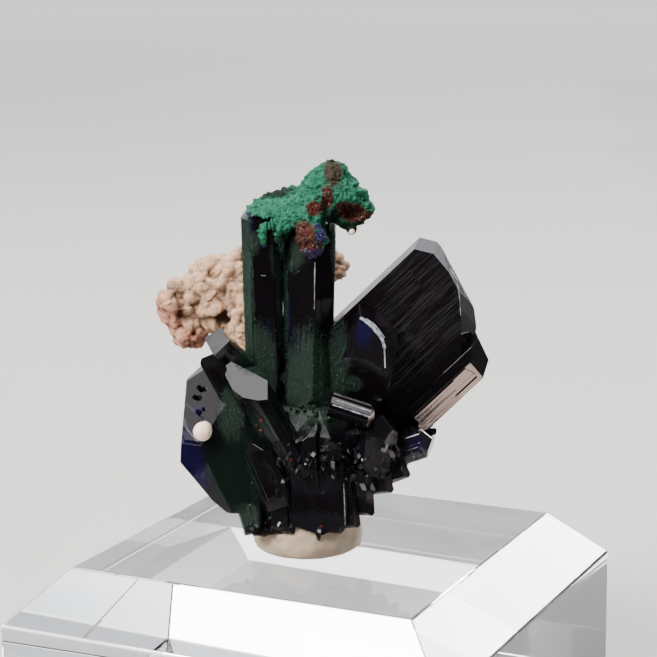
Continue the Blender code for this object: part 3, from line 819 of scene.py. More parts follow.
def overlaid(node, colour, layers):
    """A colour under layers of (mask, tint)."""
    for mask, tint in layers:
        colour = node("Mix", {0: mask, 6: colour, 7: tint}, data_type="RGBA")[2]
    return colour


def two_tone(name, first, second, size, detail=2.0, span=None, **sockets):
    """A plain material in two tones, in patches about size millimetres across."""
    made, node, position = new_material(name)
    cloud = speckle(node, position, size, detail, span=span)
    return finished(made, Base_Color=overlaid(node, first, [(cloud, second)]), **sockets)


def azurite_material(colours):
    """Azurite, a glassy carbonate: nearly black where it is thick, violet blue where light gets in,
    and dulled by green malachite dust that grew on it later. Pale lines on the broad blade are a
    painted sheen where its striae catch the light."""
    made, node, position = new_material("azurite_glassy")
    along = node("UVMap", uv_map=UV_NAME)[0]
    cloud = speckle(node, position, 2.2, 3.0)
    broken = speckle(node, position, 0.3, 3.0, 0.7)
    fine = speckle(node, position, 0.35, 3.0, 0.6)
    patch = speckle(node, position, 1.1, 3.0, 0.6)
    # Dust grains are about 0.1 mm, drawn at 0.16 mm so that they show.
    grain = speckle(node, position, 0.16, 2.0, 0.7)
    streak = streaks(node, along, 0.16, 1.6, 3.0, 0.6)
    # Pale lines on the broad blade, about 0.12 mm apart: a painted sheen where its striae catch the
    # light.
    striae_lines = streaks(node, along, 0.12, 4.0, 4.0, 0.7, (0.44, 0.72))
    # Striations 0.06 mm apart run the length of a crystal.
    lines = streaks(node, along, 0.06, 3.0, 3.0)

    blue = patches(node, position, BLUE_ZONES, ((cloud, 0.5), (broken, 0.6)), 0.66, 1.2)
    rust = node("Math", (zone_mask(node, position, RUST_ZONES), fine), operation="MULTIPLY")[0]
    rust = node("MapRange", (rust, 0.14, 0.45, 0.0, 0.75))[0]
    film = patches(node, position, FILM_ZONES, [(patch, 0.5)], 0.35, 0.75)
    coat = patches(node, position, COAT_ZONES, [(grain, 0.35)], 0.34, 0.5)
    # A painted sheen of pale lines on the broad blade, where its striae catch the light.
    striae_sheen_mask = patches(node, position, STRIAE_SHEEN_ZONES, (), 0.0, 0.4)
    striae_sheen_mask = node("Math", (striae_sheen_mask, striae_lines), operation="MULTIPLY")[0]
    dust_layers = ((patch, 0.5), (grain, 0.4), (streak, 0.55))
    dust = patches(node, position, DUST_ZONES, dust_layers, 0.84, 1.2)
    layers = (
        (blue, colours.azurite_blue),
        (rust, colours.iron_stain),
        (film, colours.green_film),
        (coat, colours.brown_coat),
        (striae_sheen_mask, colours.striae_sheen),
        (dust, overlaid(node, colours.dust_dark, [(grain, colours.dust_light)])),
    )
    colour = overlaid(node, colours.azurite_dark, layers)

    rough = speckle(node, position, 0.8, 4.0, 0.65, (0.35, 0.75), (0.07, 0.2))
    for mask, dulled in ((coat, 0.34), (dust, 0.55)):
        rough = node("Mix", {0: mask, 2: rough, 3: dulled}, data_type="FLOAT")[0]
    steps = node("Math", (grain, dust), operation="MULTIPLY")[0]
    relief = node("Bump", {"Height": lines, "Distance": 0.004 * MM, "Strength": 0.8})[0]
    raised = {"Height": steps, "Distance": 0.05 * MM, "Strength": 0.6, "Normal": relief}
    relief = node("Bump", raised)[0]
    return finished(
        made, Base_Color=colour, Roughness=rough, Normal=relief, IOR=1.73, Specular_IOR_Level=0.17
    )


def grain_material(name, light, dark, size, roughness):
    """Small mineral grains: each patch a little lighter or darker than the next."""
    return two_tone(
        name, dark, light, size, 1.0, (0.35, 0.65), Roughness=roughness, Specular_IOR_Level=0.1
    )


def malachite_material(colours):
    """Malachite as a felt of tiny needles: bright matt green, with painted shade in the hollows and
    a painted paler green on its crests, stained red brown by iron where it is broken."""
    made, node, position = new_material("malachite_felt")
    pit = node("Attribute", attribute_name="pit")["Fac"]
    lump = speckle(node, position, 0.9, 3.0, 0.6)
    grain = speckle(node, position, 0.13, 2.0, 0.7)
    shade = node("Math", (grain, 0.6, lump), operation="MULTIPLY_ADD")[0]
    shade = node("Math", (shade, pit), operation="SUBTRACT")[0]
    # The ramp's deepest green is painted shade in the hollows and its palest a painted highlight on
    # the crests; lump and grain noise add a random tone.
    ramp = (
        (0.15, colours.malachite_deep_shade),
        (0.95, colours.malachite_pale_and_highlight),
        (0.55, colours.malachite_green),
    )
    colour = node("ValToRGB", (shade,), ramp)[0]
    # The first layer is partly painted shade: a darker green where the cap's edge turns from the
    # light.
    layers = [
        (patches(node, position, zones, ((lump, 0.6), (grain, 0.25)), low, high), tint)
        for zones, tint, low, high in (
            (CAP_THIN_AND_SHADED_ZONES, colours.malachite_deep_shade, 0.3, 0.85),
            (CAP_GREY_ZONES, colours.crust_grey, 0.6, 0.85),
            (CAP_BROWN_ZONES, colours.iron_brown, 0.55, 0.75),
            (CAP_BLUE_ZONES, colours.rim_blue, 0.5, 0.8),
        )
    ]
    rough = node("MapRange", (grain, 0.0, 1.0, 0.55, 0.9))[0]
    relief = node("Bump", {"Height": grain, "Distance": 0.05 * MM, "Strength": 0.7})[0]
    colour = overlaid(node, colour, layers)
    return finished(
        made, Base_Color=colour, Roughness=rough, Normal=relief, Specular_IOR_Level=0.12
    )


def cap_grain_material(colours):
    """Iron oxide and copper minerals in broken grains: red brown to orange, some yellow green."""
    made, node, position = new_material("rusty_grains")
    ramp = (
        (0.36, colours.iron_dark),
        (0.68, colours.iron_orange),
        (0.5, colours.iron_brown),
        (0.6, colours.olive_grain),
    )
    colour = node("ValToRGB", (speckle(node, position, 0.22, 1.0),), ramp)[0]
    return finished(made, Base_Color=colour, Roughness=0.45, Specular_IOR_Level=0.3)


def fringe_material(colours):
    """Azurite so fine that light passes through it: violet blue, half matt, paler at its tips."""
    tones = (colours.rim_blue, colours.rim_pale)
    return two_tone(
        "azurite_fine", *tones, 0.3, 2.0, (0.35, 0.7), Roughness=0.4, Specular_IOR_Level=0.4
    )


def matrix_material(colours):
    """Weathered dolomite crust: matt cream knobs, browner between them where painted shade lies,
    salmon from iron at one end."""
    made, node, position = new_material("dolomite_crust")
    pit = node("Attribute", attribute_name="pit")["Fac"]
    cloud = speckle(node, position, 1.8, 3.0)
    grain = speckle(node, position, 0.18, 3.0, 0.65)
    salmon = patches(node, position, SALMON_ZONES, [(cloud, 0.5)], 0.3, 0.75)
    light = overlaid(node, colours.crust_cream, [(salmon, colours.crust_salmon)])
    # The dark tones are painted shade: the cream and the salmon darkened between the knobs.
    dark = overlaid(node, colours.crust_shade, [(salmon, colours.crust_salmon_shade)])
    depth = node("Math", (grain, 0.5, pit), operation="MULTIPLY_ADD")[0]
    depth = node("MapRange", (depth, 0.3, 1.0))[0]
    rough = node("MapRange", (grain, 0.0, 1.0, 0.6, 0.95))[0]
    relief = node("Bump", {"Height": grain, "Distance": 0.06 * MM, "Strength": 0.6})[0]
    colour = overlaid(node, light, [(depth, dark)])
    return finished(
        made, Base_Color=colour, Roughness=rough, Normal=relief, Specular_IOR_Level=0.3
    )


def calcite_material(colours):
    """A calcite bead: waxy, with light going a little way in."""
    depth = {"Subsurface_Weight": 0.3, "Subsurface_Scale": 0.3 * MM}
    tones = (colours.bead_cream, colours.bead_pink)
    return two_tone("calcite_waxy", *tones, 0.5, 3.0, (0.35, 0.7), Roughness=0.38, IOR=1.6, **depth)


def putty_material(colours):
    """Museum putty: ivory darkened by a painted shade, as though the specimen above it shadowed it,
    with a soft wax shine, faintly mottled by handling.
    """
    made, node, position = new_material("museum_putty")
    cloud = speckle(node, position, 1.4, 4.0, span=(0.3, 0.7))
    colour = overlaid(node, colours.putty_ivory_in_shade, [(cloud, colours.putty_shade)])
    rough = node("MapRange", (cloud, 0.0, 1.0, 0.42, 0.62))[0]
    skin = speckle(node, position, 0.3, 4.0, 0.6)
    relief = node("Bump", {"Height": skin, "Distance": 0.03 * MM, "Strength": 0.4})[0]
    depth = {"Subsurface_Weight": 0.15, "Subsurface_Scale": 0.6 * MM}
    return finished(made, Base_Color=colour, Roughness=rough, Normal=relief, IOR=1.48, **depth)


def acrylic_material():
    """Cast acrylic, flame polished: water clear, with a haze too fine to see but in its glints."""
    made, node, position = new_material("acrylic_clear")
    haze = speckle(node, position, 6.0, 4.0, 0.7, (0.45, 0.8), (0.0, 0.06))
    return finished(
        made, Base_Color=linear("#ffffff"), Roughness=haze, IOR=1.49, Transmission_Weight=1.0
    )


def floor_material():
    """Matt painted board: pale, and even."""
    tones = (linear("#b4b1ad"), linear("#bab8b5"))
    return two_tone("painted_board", *tones, 1000 / 6, Roughness=0.85, Specular_IOR_Level=0.2)


def card_material():
    """Flocked card: black and quite matt, its flock a little uneven."""
    tones = (linear("#151515"), linear("#202020"))
    return two_tone("flocked_card", *tones, 1000 / 300, Roughness=0.95, Specular_IOR_Level=0.1)


# Settings


def colour_setting(name, code, description):
    """A colour that the sidebar can change, from its sRGB hex."""
    return FloatVectorProperty(
        name=name, description=description, subtype="COLOR", size=4, min=0, max=1,
        default=linear(code),
    )


class SpecimenSizes(bpy.types.PropertyGroup):
    block_bevel: FloatProperty(
        name="Block bevel",
        description="Width cut back from the block's top edges, along its top",
        default=3.5 * MM, min=0.0, unit="LENGTH",
    )
    block_edge: FloatProperty(
        name="Block edge",
        description="Small break on every edge of the block",
        default=0.12 * MM, min=0.0, unit="LENGTH",
    )
    crystal_edge: FloatProperty(
        name="Crystal edge",
        description="Small break on the crystals' edges, in millimetres",
        default=0.03, min=0.0,
    )
    striation_depth: FloatProperty(
        name="Striation depth",
        description="Greatest depth of the lines along the crystals, in millimetres",
        default=0.014, min=0.0,
    )
    dust_grains: IntProperty(
        name="Dust grains",
        description="How many green grains lie on the crystals",
        default=5200, min=0,
    )


class SpecimenColours(bpy.types.PropertyGroup):
    azurite_dark: colour_setting("Azurite dark", "#090609", "Azurite where it is thick")
    azurite_blue: colour_setting("Azurite blue", "#0a0524", "Azurite where light gets in")
    green_film: colour_setting("Green film", "#0a140f", "A thin green film on the azurite")
    brown_coat: colour_setting("Brown coat", "#08050a", "The dull coat among the smallest crystals")
    # Line dirt is a painted sheen: pale lines where the broad blade's striae catch the light.
    striae_sheen: colour_setting("Line dirt", "#2c292c", "Dirt in the lines of the broad blade")
    dust_dark: colour_setting("Dust dark", "#070d0a", "Malachite dust in shade")
    dust_light: colour_setting("Dust light", "#1b2c22", "Malachite dust grains")
    # Worn edge is a painted highlight: the pale colour of edges that catch the light.
    edge_highlight: colour_setting("Worn edge", "#8f9398", "Azurite bruised white along an edge")
    iron_stain: colour_setting("Iron stain", "#4f1f10", "Iron stain on the azurite")
    malachite_green: colour_setting("Malachite", "#124e38", "The cap's green")
    # Malachite pale is partly a painted highlight on the crests; Malachite deep is painted shade in
    # the hollows.
    malachite_pale_and_highlight: colour_setting("Malachite pale", "#256c52", "The tips of its needles")
    malachite_deep_shade: colour_setting("Malachite deep", "#05190f", "Its hollows")
    crust_grey: colour_setting("Cap grey", "#2d281e", "Brown grey crust on the cap's peak")
    iron_brown: colour_setting("Iron brown", "#3a170f", "Red brown in the cap's hollows")
    iron_dark: colour_setting("Iron dark", "#120a08", "The darkest rusty grains")
    iron_orange: colour_setting("Iron orange", "#6e301b", "The brightest rusty grains")
    olive_grain: colour_setting("Olive grain", "#40402a", "Yellow green grains among them")
    rim_pale: colour_setting("Rim pale", "#42415f", "The tips of the fine azurite")
    rim_blue: colour_setting("Rim blue", "#1e1b48", "Violet blue at the cap's rim")
    crust_cream: colour_setting("Crust cream", "#b39073", "The pale lump's knobs")
    # Crust hollow and crust rust are painted shade between the knobs, not colours of their own.
    crust_shade: colour_setting("Crust hollow", "#4a3727", "Between the knobs")
    crust_salmon: colour_setting("Crust salmon", "#ae7e66", "The knobs at its left end")
    crust_salmon_shade: colour_setting("Crust rust", "#5a2618", "Between the knobs at its left end")
    bead_cream: colour_setting("Bead cream", "#ecd8c2", "The calcite beads")
    bead_pink: colour_setting("Bead pink", "#dcb8a0", "Their pinker clouds")
    # The putty tones are ivory darkened by a painted shade, as though shadowed by the specimen.
    putty_ivory_in_shade: colour_setting("Putty ivory", "#ad9a84", "The putty")
    putty_shade: colour_setting("Putty shade", "#9d8871", "Its darker mottles")


# Pieces


class SPECIMEN_OT_add_azurite(bpy.types.Operator):
    """Adds the azurite crystals, grown together in one piece"""

    bl_idname = "specimen.add_azurite"
    bl_label = "Azurite crystals"

    def execute(self, context):
        sizes = context.scene.specimen_sizes
        obj = new_object("azurite", core())
        join_bodies(obj, azurite_bodies(sizes.crystal_edge, sizes.striation_depth))
        join_bodies(obj, fine_druse(obj))
        for face in obj.data.polygons:
            face.use_smooth = False
        wear(obj, azurite_material(context.scene.specimen_colours))
        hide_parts("azurite_crystals")
        return {"FINISHED"}


class SPECIMEN_OT_add_grains(bpy.types.Operator):
    """Adds the green dust and the rusty grains that lie on the crystals"""

    bl_idname = "specimen.add_grains"
    bl_label = "Mineral grains"

    def execute(self, context):
        azurite = bpy.data.objects["azurite"]
        rng = random.Random(GRAINS_SEED)
        needle = partial(
            bmesh.ops.create_cone, cap_ends=True, segments=4, radius1=1.0, radius2=0.25, depth=1.6
        )
        grain = partial(bmesh.ops.create_icosphere, subdivisions=1, radius=1.0)

        def dusty(point):
            return inside(point, DUST_ZONES) * 1.6 + noise.noise(point * 0.9) * 0.3 - 0.22

        count = context.scene.specimen_sizes.dust_grains
        points = surface_points(azurite, count, DUST_SEED, dusty)
        places = grain_places(
            points, rng, sizes=(0.018, 0.05), lean=0.9, stretches=(None, (0.8, 2.2))
        )
        dust = new_object("green_dust", in_groups(places, needle))
        tones = (linear("#3c5f4d"), linear("#0c1c15"))
        wear(dust, grain_material("malachite_dust", *tones, 0.12, 0.85))

        points = surface_points(
            azurite, RUST_GRAINS, RUST_SEED, lambda p: inside(p, RUST_ZONES) * 1.2
        )
        places = grain_places(points, rng, sizes=(0.04, 0.13), lean=0.9, stretches=(None, None))
        rust = new_object("iron_oxide_grains", in_groups(places, grain))
        tones = (linear("#7c3519"), context.scene.specimen_colours.iron_stain)
        wear(rust, grain_material("iron_oxide", *tones, 0.2, 0.5))
        return {"FINISHED"}


# Painted highlights where edges catch the light, drawn as thin pale lines, each a line of (x, y, z,
# width) and the way it faces.
PAINTED_EDGE_HIGHLIGHTS = [
    ([(0.735, -1.52, 20.0, 0.06), (0.69, -1.52, 18.4, 0.06), (0.66, -1.52, 16.9, 0.03)],
     (0.17, -1, 0)),
    ([(3.72, -3.12, 16.55, 0.1), (4.1, -3.26, 16.36, 0.24), (4.42, -3.38, 16.14, 0.3),
      (4.78, -3.53, 15.76, 0.32), (5.12, -3.68, 15.3, 0.24), (5.24, -3.83, 14.7, 0.1),
      (5.28, -4.06, 13.4, 0.05)], (0.1, -0.85, 0.5)),
    ([(-3.9, -3.05, 3.8, 0.04), (-2.8, -3.05, 4.12, 0.05), (-1.8, -3.0, 4.47, 0.03)],
     (0, -1, 0.2)),
    ([(2.49, -3.62, 5.4, 0.04), (2.53, -3.76, 4.0, 0.04), (2.57, -3.9, 2.6, 0.03)],
     (0.3, -1, 0)),
    ([(9.76, -0.65, 19.35, 0.03), (10.22, -0.65, 18.6, 0.05), (10.4, -0.65, 17.2, 0.05),
      (10.46, -0.65, 16.2, 0.03)], (0.3, -1, 0)),
    ([(-2.86, -1.17, 19.13, 0.02), (-2.7, -1.17, 19.1, 0.05), (-2.55, -1.17, 19.11, 0.02)],
     (0, -1, 0)),
    ([(-2.9, -1.17, 17.6, 0.02), (-2.86, -1.17, 17.3, 0.06), (-2.87, -1.17, 17.05, 0.02)],
     (0, -1, 0)),
    ([(-1.45, -0.95, 17.3, 0.02), (-1.42, -0.97, 16.8, 0.06), (-1.44, -1.0, 16.4, 0.02)],
     (0, -1, 0)),
    ([(2.1, -4.2, 11.25, 0.03), (3.2, -4.31, 10.89, 0.08), (4.3, -4.42, 10.53, 0.1)],
     (0.16, -0.71, 0.69)),
    ([(1.83, -4.49, 11.02, 0.04), (3.1, -4.6, 10.61, 0.09), (4.25, -4.71, 10.22, 0.09)],
     (0.16, -0.9, 0.4)),
]


class SPECIMEN_OT_add_edge_highlights(bpy.types.Operator):
    """Adds thin pale lines along some edges: painted highlights where the edges catch the light"""

    bl_idname = "specimen.add_worn_edges"
    bl_label = "Worn edges"

    def execute(self, context):
        parts = []
        for line, facing in PAINTED_EDGE_HIGHLIGHTS:
            for (*start, broad), (*end, narrow) in zip(line, line[1:]):
                run = Vector(end) - Vector(start)
                middle = (Vector(start) + Vector(end)) / 2
                half = (broad + narrow) / 4
                reach = run.length / 2 + half * 0.6
                sides = [(0, 0.02), (55, half), (125, half), (180, 0.2), (-125, half), (-55, half)]
                parts.append(crystal(middle, run, facing, sides, [(0, 0, reach)], reach))
        obj = new_object("edge_highlights", parts[0])
        join_bodies(obj, parts[1:])
        # These pale tones are painted highlights along the edges, not bruising.
        tones = (context.scene.specimen_colours.edge_highlight, linear("#4a5054"))
        wear(obj, grain_material("azurite_edge_highlight", *tones, 0.25, 0.5))
        return {"FINISHED"}


def warped(point, size, by):
    """The point pushed about by noise, so that a pattern read there loses its regular look."""
    pushes = [noise.noise(point / size + Vector((7.3 * k, 0, 2.1 * k))) for k in range(3)]
    return point + by * Vector(pushes)


def crests(point, size):
    """Sharp winding crests about size apart: 1 on a crest, about 0 between them."""
    return 1.0 - 2.6 * abs(noise.noise(point / size))


def knobs(point, size):
    """Rounded knobs about size apart: 1 at the top of each, 0 between them."""
    away = noise.voronoi(point / size)[0][0]
    return max(0.0, 1.0 - (away / 0.78) ** 2)


def felt_relief(point):
    """Malachite: crests 0.9 and 0.34 mm apart, and the ends of its needles."""
    place = warped(point, 0.5, 0.2)
    broad = crests(place, 0.9)
    fine = crests(place, 0.34)
    grain = noise.noise(point / 0.11)
    height = 0.13 * broad + 0.075 * fine + 0.05 * grain - 0.1
    hollow = 0.0
    for zone, depth in CAP_HOLLOWS:
        deep = min(1.0, inside(point, [zone]) * 2.0)
        height -= depth * deep
        hollow = max(hollow, deep)
    # The second value is painted shading: more in the hollows, less on the crests, where the green
    # is painted paler.
    return height, 0.3 - 0.28 * fine - 0.14 * broad - 0.3 * grain + 0.25 * hollow


def crust_relief(point):
    """Dolomite: knobs of 0.9 mm that carry knobs of 0.36 mm, with hollows between them."""
    place = warped(point, 0.8, 0.22)
    lump = noise.fractal(point / 2.2, 1.0, 2.0, 3)
    rise = 0.7 + 0.8 * noise.noise(point / 1.7 + Vector((3, 1, 8)))
    large = knobs(place, 0.9)
    small = knobs(place, 0.36)
    grain = noise.noise(point / 0.14)
    hollow = inside(point, CRUST_HOLLOWS)
    height = 0.24 * lump + 0.6 * rise * large + 0.12 * small + 0.035 * grain
    pit = 0.75 * (1.0 - large) + 0.3 * (1.0 - small) - 0.2 * grain + 1.2 * hollow - 0.25
    # The second value is painted shade, deepest between the knobs and in the hollows.
    return height - 0.8 * hollow - 0.32, min(1.0, max(0.0, pit))


def grow_crust(name, node, voxel, swell, relief):
    """A crust on a CAD node's form: relief gives each point its height above it, and how much
    painted shade it gets for lying between the knobs, which is kept in a point attribute."""
    bm = opened(frame["nodes"][node].data)
    bmesh.ops.remove_doubles(bm, verts=bm.verts, dist=1e-4)
    obj = new_object(name, bm)
    bm = even_skin(obj, voxel, soften=3)
    bm.normal_update()
    painted_shadings = []
    for vert in bm.verts:
        height, pit = relief(vert.co)
        vert.co += vert.normal * (height + swell)
        painted_shadings.append(pit)
    put_back(obj, bm)
    obj.data.attributes.new("pit", "FLOAT", "POINT").data.foreach_set("value", painted_shadings)
    return obj


class SPECIMEN_OT_add_malachite(bpy.types.Operator):
    """Adds the malachite cap over the tall crystals"""

    bl_idname = "specimen.add_malachite"
    bl_label = "Malachite cap"

    def execute(self, context):
        obj = grow_crust(
            "malachite", "malachite_cap", voxel=0.047, swell=0.05, relief=felt_relief
        )
        wear(obj, malachite_material(context.scene.specimen_colours))
        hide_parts("malachite_cap")
        return {"FINISHED"}


class SPECIMEN_OT_add_cap_grains(bpy.types.Operator):
    """Adds the rusty grains in the cap's hollows and the violet crystals at its rim"""

    bl_idname = "specimen.add_cap_grains"
    bl_label = "Cap grains"

    def execute(self, context):
        colours = context.scene.specimen_colours
        cap = bpy.data.objects["malachite"]
        rng = random.Random(CAP_GRAINS_SEED)
        block = partial(
            bmesh.ops.create_cone, cap_ends=True, segments=5, radius1=1.0, radius2=0.6, depth=1.7
        )
        for name, zones, count, sizes, finish, slot in (
            ("cap_rust", CAP_BROWN_ZONES, 480, (0.04, 0.12), cap_grain_material, "malachite"),
            ("cap_fringe", CAP_BLUE_ZONES, 360, (0.035, 0.09), fringe_material, "azurite"),
        ):
            points = surface_points(cap, count, count, lambda p: inside(p, zones) * 2.0)
            places = grain_places(points, rng, sizes, 0.8, ((0.5, 1.0), (0.6, 1.1)))
            wear(new_object(name, in_groups(places, block)), finish(colours))
        return {"FINISHED"}


class SPECIMEN_OT_add_matrix(bpy.types.Operator):
    """Adds the pale lump behind the crystals"""

    bl_idname = "specimen.add_matrix"
    bl_label = "Matrix lump"

    def execute(self, context):
        obj = grow_crust("crust", "matrix_lump", voxel=0.08, swell=0.1, relief=crust_relief)
        wear(obj, matrix_material(context.scene.specimen_colours))
        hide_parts("matrix_lump")
        return {"FINISHED"}


class SPECIMEN_OT_add_beads(bpy.types.Operator):
    """Adds the calcite beads on the left crystal and under the cap"""

    bl_idname = "specimen.add_beads"
    bl_label = "Calcite beads"

    def execute(self, context):
        finish = calcite_material(context.scene.specimen_colours)
        low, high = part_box("left_bead")
        centre = TO_SPECIMEN @ ((low + high) / 2)
        for name, middle, radii, replaced in (
            ("left_bead_grown", centre, (0.62, 0.6, 0.68), ["left_bead"]),
            ("cap_bead", (3.2, -0.55, 21.95), (0.24, 0.24, 0.28), []),
        ):
            bm = bmesh.new()
            bmesh.ops.create_icosphere(bm, subdivisions=5, radius=1.0)
            for vert in bm.verts:
                egg = 1.0 - 0.14 * vert.co.z
                bump = 1.0 + 0.05 * noise.noise(vert.co * 1.7) + 0.012 * noise.noise(vert.co * 8.0)
                vert.co = Vector((vert.co.x * egg, vert.co.y * egg, vert.co.z)) * bump
            lean = Matrix.Rotation(0.5, 3, "Y")
            bmesh.ops.scale(bm, vec=radii, verts=bm.verts)
            bmesh.ops.rotate(bm, cent=(0, 0, 0), matrix=lean, verts=bm.verts)
            bmesh.ops.translate(bm, vec=middle, verts=bm.verts)
            for face in bm.faces:
                face.smooth = True
            obj = new_object(name, bm)
            wear(obj, finish)
            if replaced:
                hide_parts(*replaced)
        return {"FINISHED"}


PUTTY_RADIUS = 3.8
PUTTY_HEIGHT = 3.6
PUTTY_VOXEL = 0.14
PUTTY_PROFILE = [(0.86, 0.0), (0.97, 0.08), (1.0, 0.24), (0.98, 0.46), (0.9, 0.78), (0.72, 1.0)]
# Below this height the putty is pressed flat on the block.
PUTTY_FLAT = 0.12


class SPECIMEN_OT_add_putty(bpy.types.Operator):
    """Adds the pressed dab of putty"""

    bl_idname = "specimen.add_putty"
    bl_label = "Mounting putty"

    def execute(self, context):
        bm = bmesh.new()
        ring = [bm.verts.new((PUTTY_RADIUS * r, 0, PUTTY_HEIGHT * h)) for r, h in PUTTY_PROFILE]
        edges = [bm.edges.new(pair) for pair in zip(ring, ring[1:])]
        bmesh.ops.spin(
            bm, geom=ring + edges, cent=(0, 0, 0), axis=(0, 0, 1), angle=math.tau, steps=48,
            use_merge=True,
        )
        bmesh.ops.holes_fill(bm, edges=[e for e in bm.edges if e.is_boundary], sides=0)
        bmesh.ops.recalc_face_normals(bm, faces=bm.faces)
        obj = new_object("putty", bm)
        bm = even_skin(obj, PUTTY_VOXEL)
        every_way = {"use_axis_x": True, "use_axis_y": True, "use_axis_z": True}
        bmesh.ops.smooth_vert(bm, verts=bm.verts, factor=0.5, **every_way)
        bm.normal_update()
        for vert in bm.verts:
            if vert.co.z > PUTTY_FLAT:
                push = 0.22 * noise.noise(vert.co / 1.5) + 0.05 * noise.noise(vert.co / 0.4)
                vert.co += vert.normal * push * min(1.0, vert.co.z)
            else:
                vert.co.z = max(vert.co.z, 0.0)
        put_back(obj, bm)
        wear(obj, putty_material(context.scene.specimen_colours))
        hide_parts("mounting_putty")
        return {"FINISHED"}


class SPECIMEN_OT_add_block(bpy.types.Operator):
    """Adds the clear bevelled block"""

    bl_idname = "specimen.add_block"
    bl_label = "Acrylic block"

    def execute(self, context):
        sizes = context.scene.specimen_sizes
        bm = bmesh.new()
        bmesh.ops.create_cube(bm, size=1.0)
        bmesh.ops.scale(bm, vec=BLOCK_HIGH - BLOCK_LOW, verts=bm.verts)
        bmesh.ops.translate(bm, vec=(BLOCK_HIGH + BLOCK_LOW) / 2, verts=bm.verts)
        rim = [e for e in bm.edges if all(v.co.z > BLOCK_TOP / 2 for v in e.verts)]
        bmesh.ops.bevel(bm, geom=rim, offset=sizes.block_bevel, segments=1, **BEVEL)
        bmesh.ops.bevel(bm, geom=bm.edges[:], offset=sizes.block_edge, segments=3, **BEVEL)
        obj = new_object("clear_block", bm, Matrix.Identity(4))
        wear(obj, acrylic_material())
        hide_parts("acrylic_block")
        return {"FINISHED"}


# Lights, turned with the specimen: name, place, target, size, watts, spread in degrees, colour, and
# the rays that they are hidden from. The warm card lies low on the right and shows only in what
# glossy faces mirror.
LIGHTS = (
    ("soft_top", (-0.025, -0.08, 0.46), (-0.01, -0.03, 0.02), (0.34, 0.17), 1.75, 180,
     (1.0, 0.99, 0.97), ()),
    ("floor_wash", (0, 1.3, 1.2), (0, 1.3, 0), (2.6, 1.0), 10.0, 100,
     (0.97, 0.98, 1.0), ()),
    ("soft_left", (-0.5, -0.4, 0.6), (0, 0, 0.025), (0.35, 0.35), 2.4, 60,
     (1.0, 0.98, 0.96), ()),
    ("left_panel", (-0.55, -0.15, 0.28), (0, 0, 0.02), (0.3, 0.24), 0.62, 180,
     (1.0, 0.98, 0.97), ()),
    ("window", (0.68, 0.68, 0.34), (0, 0, 0.012), (0.34, 0.26), 16.0, 180,
     (0.97, 0.98, 1.0), ("diffuse",)),
    ("back_glow", (-0.15, 0.68, 0.73), (0, 0, 0.012), (0.5, 0.34), 5.0, 180,
     (0.98, 0.99, 1.0), ("diffuse", "glossy")),
    ("warm_card", (0.0175, 0.0055, 0.0129), (0.0175, 0.0055, 1.0), (0.014, 0.0085), 0.0027, 180,
     (1.0, 0.67, 0.55), ("diffuse", "transmission")),
)
CARD_HALF = 0.6
CARD_SQUARES = 100
# In metres: where the dark cards leave room for the block, and the wedge left open behind it. The
# wedge starts between 0 and WEDGE_RIGHT, and its sides spread by these shares of the way back.
GAP_LEFT, GAP_RIGHT, GAP_FRONT, GAP_BACK = -0.024, 0.048, -0.024, 0.05
WEDGE_RIGHT, SPREAD_LEFT, SPREAD_RIGHT = 0.04, 0.4, 0.1


def hide_from(obj, rays):
    """Hides an object from some kinds of ray."""
    for ray in rays:
        setattr(obj, "visible_" + ray, False)


def add_lights():
    """Soft area lights that the camera doesn't see."""
    for name, place, target, size, power, spread, colour, hidden in LIGHTS:
        light = bpy.data.lights.new(name, "AREA")
        light.shape = "RECTANGLE"
        light.size, light.size_y = size
        light.energy = power
        light.spread = math.radians(spread)
        light.color = colour
        obj = bpy.data.objects.new(name, light)
        obj.location = TURN @ Vector(place)
        way = TURN @ Vector(target) - TURN @ Vector(place)
        obj.rotation_euler = way.to_track_quat("-Z", "Y").to_euler()
        bpy.context.scene.collection.objects.link(obj)
        hide_from(obj, ("camera", *hidden))


def add_dark_cards():
    """Black cards round the block, seen only in what glossy faces mirror. They are open under the
    block and towards the bright back."""
    bm = bmesh.new()
    bmesh.ops.create_grid(bm, x_segments=CARD_SQUARES, y_segments=CARD_SQUARES, size=CARD_HALF)
    unwanted = []
    for face in bm.faces:
        x, y, _ = face.calc_center_median()
        under_block = GAP_LEFT < x < GAP_RIGHT and GAP_FRONT < y < GAP_BACK
        behind = y > 0.0 and -SPREAD_LEFT * y < x < WEDGE_RIGHT + SPREAD_RIGHT * y
        if under_block or behind:
            unwanted.append(face)
    bmesh.ops.delete(bm, geom=unwanted, context="FACES")
    bmesh.ops.transform(bm, matrix=TURN @ Matrix.Translation((0, 0, MM)), verts=bm.verts)
    card = new_object("dark_cards", bm, Matrix.Identity(4))
    card.data.materials.append(card_material())
    hide_from(card, ("camera", "diffuse", "transmission", "shadow"))


def add_room(scene):
    """The room is lit from behind: dim in front, bright behind, and brighter higher up."""
    world = bpy.data.worlds.new("soft_room")
    world.use_nodes = True
    node = partial(add_node, world.node_tree)
    way = node("TexCoord")["Generated"]
    behind = node("VectorMath", (way, TURN @ Vector((0, 1, 0))), operation="DOT_PRODUCT")["Value"]
    narrow, wide = [
        node("MapRange", (behind, low, high, 0.0, bright), interpolation_type="SMOOTHSTEP")[0]
        for low, high, bright in ((0.5, 0.85, 0.7), (-0.15, 0.4, 5.0))
    ]
    height = node("MapRange", (node("SeparateXYZ", (way,))["Z"], 0.25, 0.75))[0]
    glow = node("Mix", {0: height, 2: narrow, 3: wide}, data_type="FLOAT")[0]
    glow = node("Math", (glow, 0.25))[0]
    set_inputs(world.node_tree.nodes["Background"], {"Color": linear("#eff3f8"), "Strength": glow})
    scene.world = world


FLOOR_HALF = 3.0
FLOOR_DROP = 0.0001


